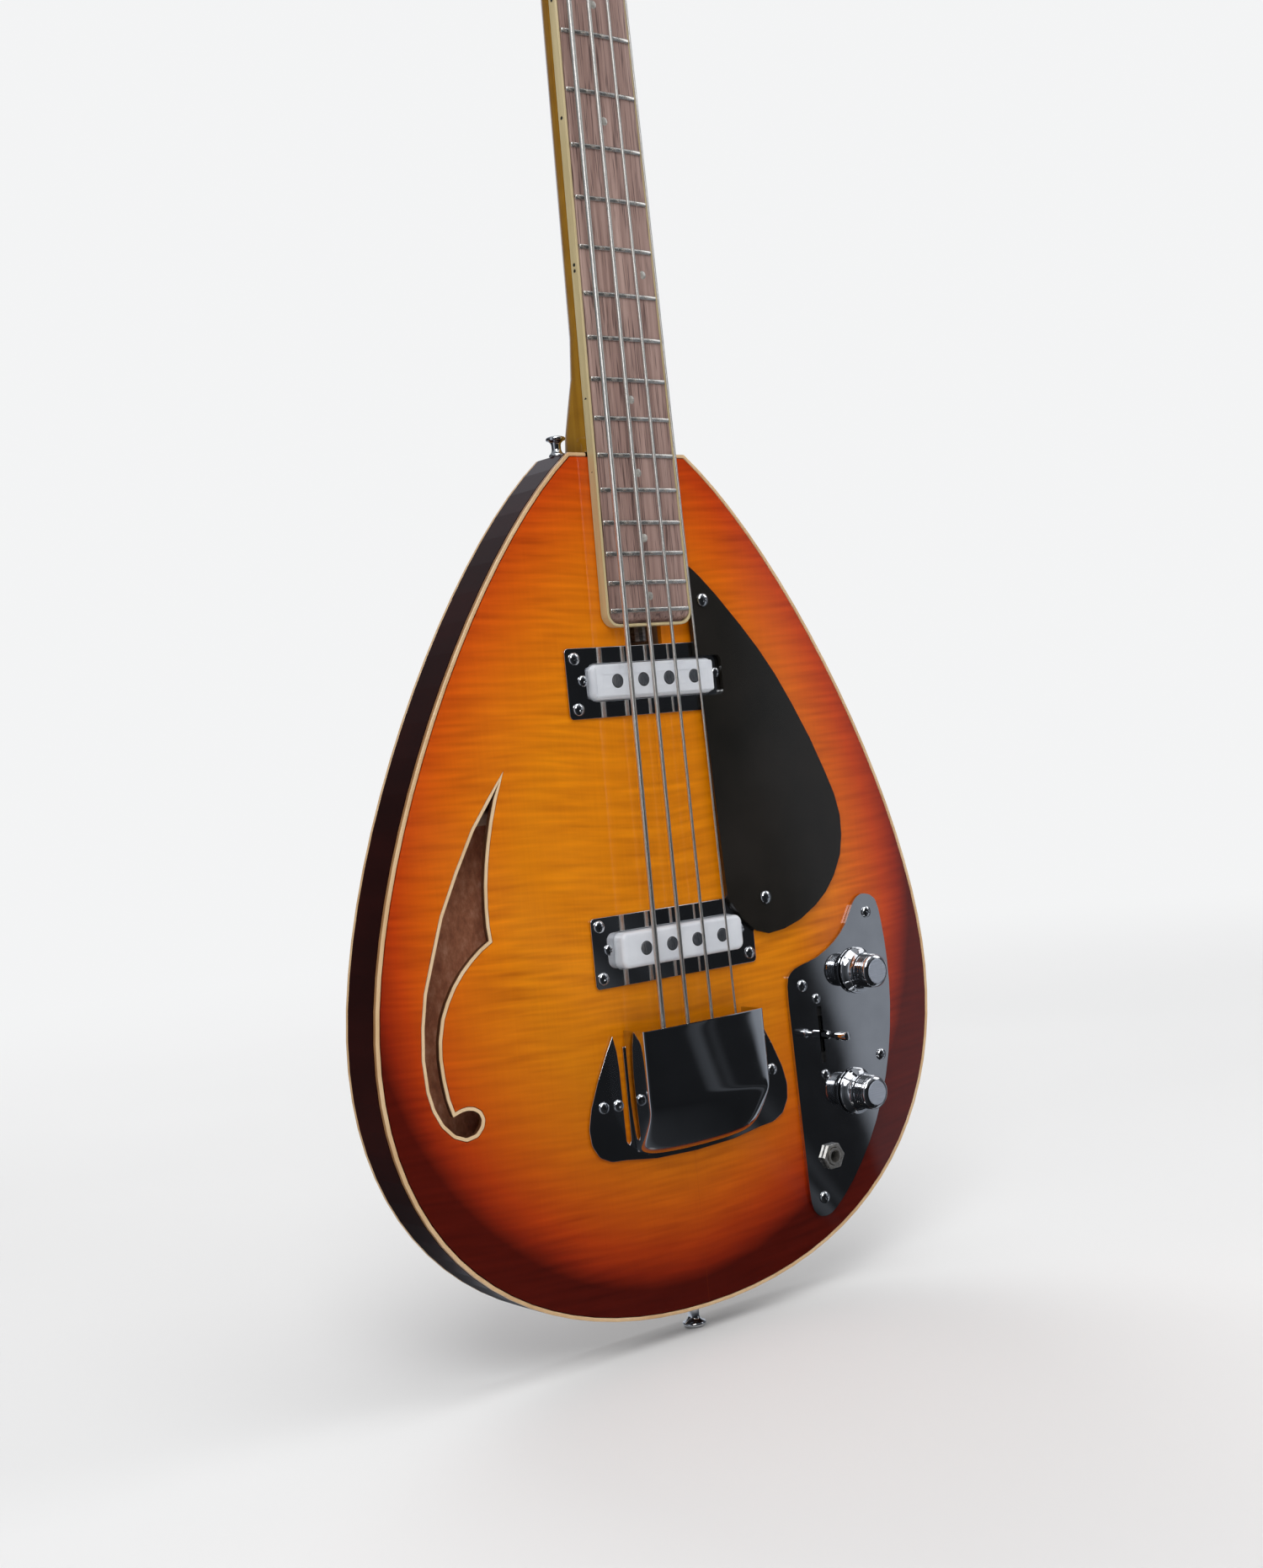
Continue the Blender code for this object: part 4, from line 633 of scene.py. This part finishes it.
pearl_mat, tree, shader, place = new_finish("pearl_inlay", 0.2, 0.0, 0.8)
sheen = noise(tree, place, 500.0, 2.0)
tinted(tree, shader, sheen, [(0.35, (0.22, 0.21, 0.19)), (0.65, (0.40, 0.385, 0.35))])
black_mat, tree, shader, place = new_finish("black_dot_plastic", 0.4)
tinted(tree, shader, noise(tree, place, 300.0), [(0.3, (0.010, 0.010, 0.010)), (0.7, (0.02, 0.02, 0.02))])


def turned(name, rings, sides, at=(0, 0, 0), aim=(90, 0, 0)):
    """A piece of revolution, drawn up from a filled circle through (radius, height) rings.

    Its axis is +Z while it is shaped, and aim turns it to where the real one points.
    """
    lay_down()
    bpy.ops.mesh.primitive_circle_add(vertices=sides, radius=rings[0][0], fill_type="NGON")
    piece = bpy.context.object
    piece.name = name
    bpy.ops.object.mode_set(mode="EDIT")
    bpy.ops.mesh.select_all(action="SELECT")
    bpy.ops.transform.translate(value=(0, 0, rings[0][1]))
    for (r0, h0), (r1, h1) in zip(rings, rings[1:]):
        bpy.ops.mesh.extrude_region_move(TRANSFORM_OT_translate={"value": (0, 0, h1 - h0)})
        bpy.ops.transform.resize(value=(r1 / r0, r1 / r0, 1), center_override=(0, 0, h1))
    leave_edit()
    piece.rotation_euler = [math.radians(part) for part in aim]
    piece.location = at
    bpy.ops.object.transform_apply(location=True, rotation=True, scale=True)
    return piece


dots = []
for number in DOT_FRETS:
    middle = (fret_z(number) + fret_z(number - 1)) / 2
    dots += [(x, middle) for x in ((-PAIR_X, PAIR_X) if number == 12 else (0.0,))]
for number, (x, z) in enumerate(dots):
    h = BOARD_EDGE_H + crown(x)
    dot = turned(f"pearl_dot_{number + 1}",
                 [(DOT_R, h - 0.0006), (DOT_R, h), (DOT_R - 0.0001, h + 0.00006)], 32, (x, FRONT_Y, z))
    done(dot, pearl_mat)
for number, (x, z) in enumerate(dots):
    edge_z = z + (SIDE_PAIR_Z if x > 0 else 0.0)
    side = turned(f"side_dot_{number + 1}", [(SIDE_DOT_R, -0.0008), (SIDE_DOT_R, 0.00008)], 20,
                  (-board_half(z) - BOARD_BINDING, FRONT_Y - SIDE_DOT_H, edge_z), (0, -90, 0))
    done(side, black_mat)

# Nut. A bar of pale plastic with a slot filed for each of the four strings, glued on to the neck's own
# wood against the end of the board.
ivory_mat, tree, shader, place = new_finish("pale_nut_plastic", 0.35, 0.0, 0.3)
tinted(tree, shader, noise(tree, place, 120.0, 3.0), [(0.3, (0.62, 0.57, 0.45)), (0.7, (0.76, 0.72, 0.60))])
softened("slotted_nut", "string_nut", 0.0003, ivory_mat, bends=40)

# Strings. Four steel cores wound with round nickel wire, each held by its ball end at the bridge, bent
# over its saddle, and wrapped twice round its tuner post.
string_mat, tree, shader, place = new_finish("round_wound_nickel", 0.34, 1.0)
wound = node(tree, "TexWave", 1, {"bands_direction": "Z"}, Vector=place, Scale=880.0, Distortion=0.2)
tone = noise(tree, place, 700.0, 2.0)
# Painted shade: the wave darkens the colour in the grooves between the wraps; the noise is the nickel's own
# uneven tone.
wrap_shade_and_tone = weighed(tree, wound, 0.6, tone)
tinted(tree, shader, wrap_shade_and_tone, [(0.25, (0.52, 0.51, 0.48)), (0.75, (0.94, 0.92, 0.87))])
relief(tree, shader, wound, 0.5, 0.0001)

STRINGS = ("e", "a", "d", "g")
STRING_R = (0.00133, 0.00108, 0.00083, 0.00057)
SPACING_AT_NUT = 0.0104
SPACING_AT_SADDLES = 0.0161
SADDLE_H = 0.0134  # what a string rests on at the bridge, above the body's front
NUT_T = 0.004
NUT_REST_H = 0.0084
HEAD_DROP = 0.003
ANCHOR_H = 0.005
FLANGE_Z = 0.101
BALL_R = 0.0026
BAR_Z = 0.020  # the retainer bar, which presses the strings down and slightly together
BAR_PINCH = 0.97
BAR_DROP = 0.0021
WIND_R = 0.0053  # the post with a little room round it
WIND_H = 0.006  # where the winding on the post begins
WIND_GAP = 0.0005
TURN_STEPS = 36
TURNS = 2


def string_x(number, z):
    return (number - 1.5) * (SPACING_AT_NUT + (SPACING_AT_SADDLES - SPACING_AT_NUT) * (NUT_Z - z) / SCALE)


def post_at(number):
    return -0.020 + 0.006 * number, NUT_Z + 0.038 * (number + 1)


for number, name in enumerate(STRINGS):
    r = STRING_R[number]
    x = string_x(number, SADDLE_Z)
    heel = FLANGE_Z - 0.0025
    path = [(x, ANCHOR_H, heel - 0.0055, BALL_R - 0.001), (x, ANCHOR_H, heel - 0.0049, BALL_R),
            (x, ANCHOR_H, heel - 0.0012, BALL_R), (x, ANCHOR_H, heel - 0.0006, r),
            (x, ANCHOR_H, FLANGE_Z + 0.001, r), (x, SADDLE_H + r, SADDLE_Z, r),
            (string_x(number, NUT_Z), NUT_REST_H + 0.0003 + r, NUT_Z + NUT_T + 0.0003, r)]
    start = (string_x(number, NUT_Z) * BAR_PINCH, NUT_Z + BAR_Z)
    path.append((start[0], NUT_REST_H - BAR_DROP - r, start[1], r))
    cx, cz = post_at(number)
    coil = WIND_R + 1.1 * r
    away = math.hypot(cx - start[0], cz - start[1])
    heading = math.atan2(cz - start[1], cx - start[0]) - math.asin(coil / away)
    along = math.sqrt(away ** 2 - coil ** 2)
    first = math.atan2(start[1] + along * math.sin(heading) - cz,
                       start[0] + along * math.cos(heading) - cx)
    for step in range(TURNS * TURN_STEPS + 1):
        angle = first + 2 * math.pi * step / TURN_STEPS
        drop = (2 * r + WIND_GAP) * step / TURN_STEPS
        path.append((cx + coil * math.cos(angle), WIND_H - drop, cz + coil * math.sin(angle), r))
    line = bpy.data.curves.new(f"wound_string_{name}", "CURVE")
    line.dimensions = "3D"
    run = line.splines.new("POLY")
    run.points.add(len(path) - 1)
    for point, (px, h, pz, radius) in zip(run.points, path):
        point.co = (px, FRONT_Y - h, pz, 1.0)
        point.radius = radius
    line.bevel_depth = 1.0
    line.bevel_resolution = 4
    line.use_fill_caps = True
    take_up(bpy.data.objects.new(line.name, line))
    bpy.ops.object.convert(target="MESH")
    piece = bpy.context.object
    done(piece, string_mat, stands_for=(f"string_{name}",), bends=60)

# Truss rod. A steel rod under the board with a socketed nut, which shows in the slot between the
# board's end and the neck pickup.
steel_mat, tree, shader, place = new_finish("turned_rod_steel", 0.35, 1.0)
rub = grained(tree, place, (300.0, 300.0, 1400.0), 2.0)
tinted(tree, shader, rub, [(0.3, (0.22, 0.21, 0.20)), (0.7, (0.46, 0.44, 0.42))])
paint(steel_mat, "truss_rod", "truss_rod_nut")

# Chrome and screws. All bright metalwork is polished brass or steel under chrome plating; its plates
# are held by small domed steel screws with a cross slot.
chrome_mat, tree, shader, place = new_finish("polished_chrome", 0.06, 1.0)
haze = noise(tree, place, 60.0, 3.0)
tinted(tree, shader, haze, [(0.3, (0.60, 0.61, 0.63)), (0.7, (0.68, 0.69, 0.71))])
tree.links.new(maths(tree, "MULTIPLY_ADD", haze, 0.05, 0.025), shader.inputs["Roughness"])
ripple = noise(tree, place, 22.0, 1.0)
relief(tree, shader, ripple, 0.15, 0.0006)

SLOT_LONG, SLOT_WIDE, SLOT_FLOOR = 0.0018, 0.0004, 0.0009  # half length, half width, height
screw = turned("cross_screw", [(0.0024, 0.0), (0.0030, 0.0), (0.0031, 0.0004), (0.0029, 0.0009),
                               (0.0023, 0.0013), (0.0014, 0.0016), (0.0005, 0.0017)], 28)
for wide, high in ((SLOT_LONG, SLOT_WIDE), (SLOT_WIDE, SLOT_LONG)):
    slot = block("screw_slot", (-wide, -0.0026, -high), (wide, -SLOT_FLOOR, high))
    select_points(slot, lambda at: at.y > -SLOT_FLOOR - CLOSE)
    bpy.ops.transform.resize(value=(0.6, 1, 0.6), center_override=(0, -SLOT_FLOOR, 0))
    bpy.ops.object.mode_set(mode="OBJECT")
    lay_down()
    bpy.context.view_layer.objects.active = screw
    applied(screw, "BOOLEAN", solver="EXACT", object=slot)
    bpy.data.objects.remove(slot)
screw.data.materials.append(chrome_mat)
turns = random.Random(7)


def copied(piece, name, shift, turn):
    """A copy with its own mesh, turned about the front's normal and moved into place."""
    twin = bpy.data.objects.new(name, piece.data.copy())
    twin.data.transform(Matrix.Translation(shift) @ Matrix.Rotation(turn, 4, "Y"))
    take_up(twin)
    return twin


def add_screw(name, x, z, base, size=1.0, stands_for=()):
    """Sets one screw on a surface that stands base above the body's front."""
    twin = copied(screw, name, (x, FRONT_Y - base, z), turns.uniform(0, 1.5))
    if size != 1.0:
        bpy.ops.object.mode_set(mode="EDIT")
        bpy.ops.mesh.select_all(action="SELECT")
        bpy.ops.transform.resize(value=(size, size, size), center_override=(x, FRONT_Y - base, z))
    done(twin, chrome_mat, stands_for=stands_for, bends=35)


# String retainer. A round chromed bar behind the nut that holds the strings down, screwed through two
# feet into the headstock.
softened("string_retaining_bar", "string_retainer", 0.0003, chrome_mat)

# Tuners. Four open-geared machines: a plate with two lugs, a worm on the key's shaft, and a toothed
# wheel under the string post; everything is chromed, and each plate is screwed to the headstock's back.
HEAD_T = 0.014
TUNER_PLATE_T = 0.0023
TUNER_SCREW_X, TUNER_SCREW_Z = 0.0105, -0.008
for number in range(4):
    x, z = post_at(number)
    mark = number + 1
    softened(f"tuner_baseplate_{mark}", f"tuner_plate_{mark}", 0.0004, chrome_mat, bends=40)
    softened(f"tuner_string_post_{mark}", f"tuner_post_{mark}", 0.0003, chrome_mat,
             f"tuner_post_body_{mark}", 40)
    softened(f"tuner_worm_key_{mark}", f"tuner_key_{mark}", 0.0003, chrome_mat,
             f"tuner_key_body_{mark}", 45)
    for side, dx in ((1, -TUNER_SCREW_X), (2, TUNER_SCREW_X)):
        held = turned(f"tuner_screw_{mark}_{side}",
                      [(0.0024, -0.0004), (0.0024, 0.0003), (0.0017, 0.0010), (0.0005, 0.0012)], 20,
                      (x + dx, FRONT_Y + HEAD_DROP + HEAD_T + TUNER_PLATE_T, z + TUNER_SCREW_Z),
                      (-90, 0, 0))
        done(held, chrome_mat, bends=35)

# Pickups. Two coils under rounded white plastic covers with four steel poles each, hung on height
# screws in chromed plates that are screwed to the top. The gap round a pole is not cut: its dark
# ring is painted on the cover as the shade in the gap over the dark coil.
PICKUPS = {"neck": (0.318, 0.006), "bridge": (0.1856, 0.0085)}  # height on the body, cover's height
POLE_STEP = 0.0164
POLE_GAP_R = 0.0035
COVER_HALF_W = 0.039
COVER_HALF_H = 0.0089
COVER_SUNK = 0.006
COVER_CORNER, COVER_EDGE = 0.004, 0.0022
POLE_R = 0.0032
HEIGHT_SCREW_X, HEIGHT_SCREW_Z = 0.0425, 0.0012
PLATE_H = 0.0013  # where screws stand on the pickups' plates
plastic_mat, tree, shader, place = new_finish("white_moulded_plastic", 0.32, 0.0, 0.35)
wear = noise(tree, place, 70.0, 4.0)
moulded = ramp(tree, wear, [(0.3, (0.60, 0.625, 0.67)), (0.6, (0.68, 0.705, 0.745))])
tree.links.new(maths(tree, "MULTIPLY_ADD", wear, 0.25, 0.2), shader.inputs["Roughness"])
relief(tree, shader, noise(tree, place, 900.0), 0.03, 0.0001)


def off_pair(tree, value, middle, half):
    """Distance to the nearer of two marks that stand half away from their middle."""
    apart = maths(tree, "ABSOLUTE", maths(tree, "SUBTRACT", value, middle))
    return maths(tree, "SUBTRACT", apart, half)


x, y, z = node(tree, "SeparateXYZ", Vector=place).node.outputs
neck_z, bridge_z = (height for height, top in PICKUPS.values())
dx = off_pair(tree, maths(tree, "ABSOLUTE", x), POLE_STEP, POLE_STEP / 2)
dz = off_pair(tree, z, (neck_z + bridge_z) / 2, (neck_z - bridge_z) / 2)
# Painted shade: a dark ring round each pole on the cover stands for the dark coil seen through a gap, in
# shade.
coil_and_shade_ring = maths(tree, "LESS_THAN", distance(tree, dx, dz), POLE_GAP_R)
tree.links.new(mixed(tree, coil_and_shade_ring, moulded, (0.03, 0.03, 0.033)), shader.inputs["Base Color"])
pole_mat, tree, shader, place = new_finish("ground_steel_pole", 0.4, 1.0)
rub = grained(tree, place, (2500.0, 300.0, 300.0), 2.0)
tinted(tree, shader, rub, [(0.3, (0.16, 0.17, 0.18)), (0.7, (0.36, 0.37, 0.39))])
relief(tree, shader, rub, 0.2, 0.0001)
coil_mat, tree, shader, place = new_finish("dark_coil_tape", 0.6)
weave = node(tree, "TexWave", 1, Vector=place, Scale=900.0)
tinted(tree, shader, weave, [(0.2, (0.012, 0.012, 0.013)), (0.8, (0.03, 0.03, 0.032))])

for name, (z, top) in PICKUPS.items():
    body = f"{name}_pickup_body"
    softened(f"chromed_{name}_pickup_plate", f"{name}_pickup_plate", 0.00035, chrome_mat)
    paint(coil_mat, f"{name}_pickup_core")
    cover = block(f"white_{name}_pickup_cover", (-COVER_HALF_W, FRONT_Y - top, z - COVER_HALF_H),
                  (COVER_HALF_W, FRONT_Y + COVER_SUNK, z + COVER_HALF_H))
    select_edges(cover, lambda a, b: abs(a.x - b.x) < CLOSE and abs(a.z - b.z) < CLOSE)
    bpy.ops.mesh.bevel(offset=COVER_CORNER, segments=8, affect="EDGES")
    select_edges(cover, lambda a, b: max(a.y, b.y) < FRONT_Y - top + CLOSE)
    bpy.ops.mesh.bevel(offset=COVER_EDGE, segments=5, affect="EDGES")
    done(cover, plastic_mat, body, (f"{name}_pickup_cover",), 35)
    for number in range(4):
        pole = turned(f"{name}_pole_{number + 1}",
                      [(POLE_R, top - 0.002), (POLE_R, top - 0.0001), (POLE_R - 0.0002, top + 0.0002)], 32,
                      ((number - 1.5) * POLE_STEP, FRONT_Y, z))
        done(pole, pole_mat, body, bends=35)
    for number, x in enumerate((-HEIGHT_SCREW_X, HEIGHT_SCREW_X)):
        add_screw(f"{name}_height_screw_{number + 1}", x, z + HEIGHT_SCREW_Z, PLATE_H, 0.9)
for number, (x, z) in enumerate(((-0.0467, 0.3302), (-0.0467, 0.3054))):
    add_screw(f"neck_plate_screw_{number + 1}", x, z, PLATE_H)
for number, (x, z) in enumerate(((-0.0473, 0.1987), (-0.0475, 0.1732), (0.0475, 0.1732))):
    add_screw(f"bridge_pickup_screw_{number + 1}", x, z, PLATE_H)

# Pickguard. A shield of thin black plastic with a polished face and a bevelled edge, held over the top
# by two screws, and notched round the neck pickup.
guard_mat, tree, shader, place = new_finish("polished_black_plastic", 0.22, 0.0, 0.5)
haze = noise(tree, place, 25.0, 4.0)
tinted(tree, shader, haze, [(0.3, (0.007, 0.006, 0.004)), (0.7, (0.014, 0.011, 0.008))])
tree.links.new(maths(tree, "MULTIPLY_ADD", haze, 0.2, 0.1), shader.inputs["Roughness"])
softened("bevelled_pickguard", "pickguard", 0.0006, guard_mat)
GUARD_TOP = 0.0038
for number, (x, z) in enumerate(((0.0365, BOARD_END_Z + 0.012), (0.060, BOARD_END_Z - 0.144))):
    add_screw(f"guard_cross_screw_{number + 1}", x, z, GUARD_TOP, 1.1, (f"pickguard_screw_{number + 1}",))

# Bridge. A teardrop-winged chromed plate with a slotted anchor for the strings' balls and four sliding
# saddles, screwed down through its wings under a hand rest of pressed and chromed sheet that lifts off.
softened("winged_bridge_plate", "bridge_plate", 0.0003, chrome_mat, outline=0.0012)
for number, (x, z) in enumerate(((-0.055, 0.111), (-0.046, 0.1105), (0.055, 0.111), (0.046, 0.1105))):
    add_screw(f"bridge_wing_screw_{number + 1}", x, z, 0.0015, 0.95)
for name in STRINGS:
    softened(f"chromed_saddle_{name}", f"saddle_{name}", 0.0006, chrome_mat,
             f"saddle_body_{name}", 40)

HOOD_LOW = 0.0018
HOOD_TOP = 0.018
HOOD_SIDE = 0.039
HOOD_TAIL_Z = 0.084
HOOD_OPEN_Z = 0.1465  # the side that is open, towards the neck
HOOD_LEAN = 0.022  # how much further the top's tail edge is up the body
HOOD_T = 0.0012
HOOD_NARROWING = 0.985  # of the walls at the tail
HOOD_ARCH, HOOD_BOW = 0.0015, 0.0022  # how far the top and the tail edge swell in the middle
HOOD_X = (-0.0368, -0.030, -0.015, 0.0, 0.015, 0.030, 0.0368)
HOOD_ROLL = ((0.0042, 0.0031), (0.009, 0.0066), (0.0145, 0.0040))  # height, and drop of the tail there
# Round the two rear corners: distance from the middle, the span of height, and the lift.
HOOD_CORNERS = ((HOOD_SIDE, 0.095, 0.100, 0.0034), (HOOD_X[-1], 0.095, 0.100, 0.0010),
                (HOOD_SIDE, 0.080, 0.090, 0.0062), (HOOD_X[-1], 0.080, 0.090, 0.0022))
hood = block("chromed_bridge_hood", (-HOOD_SIDE, FRONT_Y - HOOD_TOP, HOOD_TAIL_Z),
             (HOOD_SIDE, FRONT_Y - HOOD_LOW, HOOD_OPEN_Z))
select_points(hood, lambda at: at.z < HOOD_TAIL_Z + 0.001 and at.y < FRONT_Y - 0.01)
bpy.ops.transform.translate(value=(0, 0, HOOD_LEAN))
cuts = [((x, 0, 0), (1, 0, 0)) for x in HOOD_X]
cuts += [((0, 0, z), (0, 0, 1)) for z in (0.111, 0.122, 0.142)]
cuts += [((0, FRONT_Y - h, 0), (0, 1, 0)) for h, drop in HOOD_ROLL]
for spot, facing in cuts:
    bpy.ops.mesh.select_all(action="SELECT")
    bpy.ops.mesh.bisect(plane_co=spot, plane_no=facing)
for test in (lambda at: at.z > HOOD_OPEN_Z - CLOSE, lambda at: at.y > FRONT_Y - HOOD_LOW - CLOSE):
    select_points(hood, test)
    bpy.ops.mesh.delete(type="ONLY_FACE")
for h, drop in HOOD_ROLL:
    select_points(hood, lambda at: at.z < 0.103 and abs(FRONT_Y - h - at.y) < CLOSE)
    bpy.ops.transform.translate(value=(0, 0, -drop))
for across, low, high, rise in HOOD_CORNERS:
    select_points(hood, lambda at: abs(abs(at.x) - across) < CLOSE and low < at.z < high)
    bpy.ops.transform.translate(value=(0, 0, rise))
select_points(hood, lambda at: abs(at.x) > HOOD_SIDE - CLOSE and at.z < 0.104)
bpy.ops.transform.resize(value=(HOOD_NARROWING, 1, 1), center_override=(0, 0, 0))
for x in HOOD_X:
    arch = 1 - (x / HOOD_SIDE) ** 2
    select_points(hood, lambda at: abs(at.x - x) < CLOSE and at.y < FRONT_Y - HOOD_TOP + CLOSE)
    bpy.ops.transform.translate(value=(0, -HOOD_ARCH * arch, 0))
    select_points(hood, lambda at: abs(at.x - x) < CLOSE and at.z < 0.1)
    bpy.ops.transform.translate(value=(0, 0, -HOOD_BOW * arch))
leave_edit()
applied(hood, "SUBSURF", levels=3, render_levels=3)
applied(hood, "SOLIDIFY", thickness=HOOD_T, offset=-1.0)
applied(hood, "BEVEL", width=0.0003, segments=2, limit_method="ANGLE", angle_limit=math.radians(60))
done(hood, chrome_mat, "bridge_cover_body", ("bridge_cover",), 35)

# Control plate. A flowing chromed plate that carries two volume and tone pots, the pickup switch and
# the output jack, fixed to the top by four screws.
softened("chromed_control_plate", "control_plate", 0.0004, chrome_mat, bends=60,
         outline=0.0016)
CONTROL_TOP = 0.0018
PLATE_SCREWS = ((0.1329, 0.1837), (0.0812, 0.1508), (0.1341, 0.1055), (0.083, 0.0378))
for number, (x, z) in enumerate(PLATE_SCREWS):
    add_screw(f"control_plate_screw_{number + 1}", x, z, CONTROL_TOP)
for number, (x, z) in enumerate(((0.0905, 0.1426), (0.092, 0.1018))):
    add_screw(f"switch_screw_{number + 1}", x, z, CONTROL_TOP, 0.85)

# Knobs. Two turned and chromed metal knobs with a flared skirt, stepped ribs and a satin disc let into
# the end, pushed on to the steel shafts of the potentiometers.
RIB_BASE, RIB_STEP = 0.0101, 0.0013
SKIRT = [(0.0050, 0.0026), (0.0122, 0.0024), (0.0125, 0.0028), (0.0125, 0.0036), (0.0123, 0.0040),
         (0.0114, 0.0050), (0.0104, 0.0062), (0.0098, 0.0074), (0.0095, 0.0086), (0.0094, 0.0091),
         (0.0087, 0.0094), (0.0087, RIB_BASE)]
RIBS = [(r, RIB_BASE + RIB_STEP * step + rise) for step in range(4)
        for r, rise in ((0.0090, 0.0002), (0.0090, 0.0008), (0.0086, 0.0010), (0.0086, RIB_STEP))]
CAP = [(0.0088, 0.0156), (0.0088, 0.0168), (0.0086, 0.0173), (0.0080, 0.0179), (0.0070, 0.0184),
       (0.0067, 0.0185), (0.0066, 0.0182), (0.0040, 0.0182), (0.0010, 0.0182)]
DISC = [(0.0064, 0.0180), (0.0064, 0.01845), (0.0062, 0.0186), (0.0010, 0.01862)]
disc_mat, tree, shader, place = new_finish("satin_knob_disc", 0.5, 0.5)
rub = grained(tree, place, (90.0, 90.0, 1800.0), 2.0)
tinted(tree, shader, rub, [(0.3, (0.38, 0.42, 0.49)), (0.7, (0.46, 0.50, 0.58))])
relief(tree, shader, rub, 0.1, 0.0001)
paint(steel_mat, "pot_shaft_1", "pot_shaft_2", "pot_body_1", "pot_body_2")
KNOB_SPOTS = ((0.121, 0.1535), (0.1125, 0.0895))
for number, (x, z) in enumerate(KNOB_SPOTS):
    body = f"knob_body_{number + 1}"
    knob = turned(f"ribbed_knob_{number + 1}", SKIRT + RIBS + CAP, 56, (x, FRONT_Y, z))
    done(knob, chrome_mat, body, (f"knob_{number + 1}",), 32)
    disc = turned(f"knob_disc_{number + 1}", DISC, 48, (x, FRONT_Y, z))
    done(disc, disc_mat, body, (), 32)

# Switch. A lever switch in a black plastic body, held under the control plate by two screws; its flat
# steel blade runs in a narrow slot and carries a round chromed tip.
paint(black_mat, "switch_body")
LEVER_X, LEVER_Z = 0.092, 0.1233
BLADE_H = 0.0070  # below this height the lever is flattened to its blade
lever = turned("rod_switch_lever",
               [(0.0009, -0.0098), (0.0024, -0.0095), (0.0024, 0.0066), (0.0020, 0.0076),
                (0.0014, 0.0082), (0.0014, 0.0130), (0.0018, 0.0136), (0.0024, 0.0142),
                (0.0024, 0.0208), (0.0021, 0.0216), (0.0008, 0.0220)], 32, (LEVER_X, FRONT_Y, LEVER_Z))
bpy.ops.object.mode_set(mode="EDIT")
select_points(lever, lambda at: at.y > FRONT_Y - BLADE_H)
bpy.ops.transform.resize(value=(0.4, 1, 1), center_override=(LEVER_X, 0, 0))
done(lever, chrome_mat, "lever_body", ("switch_lever",), 35)

# Jack. A nickel-plated brass barrel socket for the lead, pushed through the control plate from below
# and held by a washer and a hexagonal nut.
paint(nickel_mat, "output_jack")
softened("hexagonal_jack_nut", "jack_nut", 0.0004, nickel_mat, bends=40)

# Strap buttons. Two waisted buttons turned from metal and chromed, one screwed into the shoulder by the
# neck and one into the tail.
BUTTON = [(0.0047, 0.0), (0.0050, 0.0003), (0.0048, 0.0010), (0.0040, 0.0018), (0.0032, 0.0028),
          (0.0029, 0.0042), (0.0029, 0.0066), (0.0033, 0.0080), (0.0044, 0.0091), (0.0057, 0.0096),
          (0.0060, 0.0101), (0.0060, 0.0108), (0.0056, 0.0114), (0.0044, 0.0119), (0.0020, 0.0120),
          (0.0016, 0.0114), (0.0004, 0.0114)]
for name, place, aim, size in (("top", (-0.0335, 0, 0.4323), (0, 0, 0), 0.82),
                               ("tail", (0, 0, -0.0003), (180, 0, 0), 1.0)):
    rings = [(r * size, h * size) for r, h in BUTTON]
    button = turned(f"waisted_{name}_strap_button", rings, 48, place, aim)
    done(button, chrome_mat, "body", (f"{name}_strap_button",), 35)

# Wiring. Insulated copper wires in one black woven sleeve, which lies loose inside the body and is
# soldered at the pickups, the potentiometers, the switch and the jack.
sleeve_mat, tree, shader, place = new_finish("black_woven_sleeve", 0.7)
weave = node(tree, "TexWave", 1, {"bands_direction": "DIAGONAL"}, Vector=place, Scale=600.0)
tinted(tree, shader, weave, [(0.2, (0.010, 0.010, 0.010)), (0.8, (0.045, 0.045, 0.045))])
paint(sleeve_mat, "wiring_loom")

# The pattern that every screw was copied from isn't a piece of the instrument.
bpy.data.objects.remove(screw)
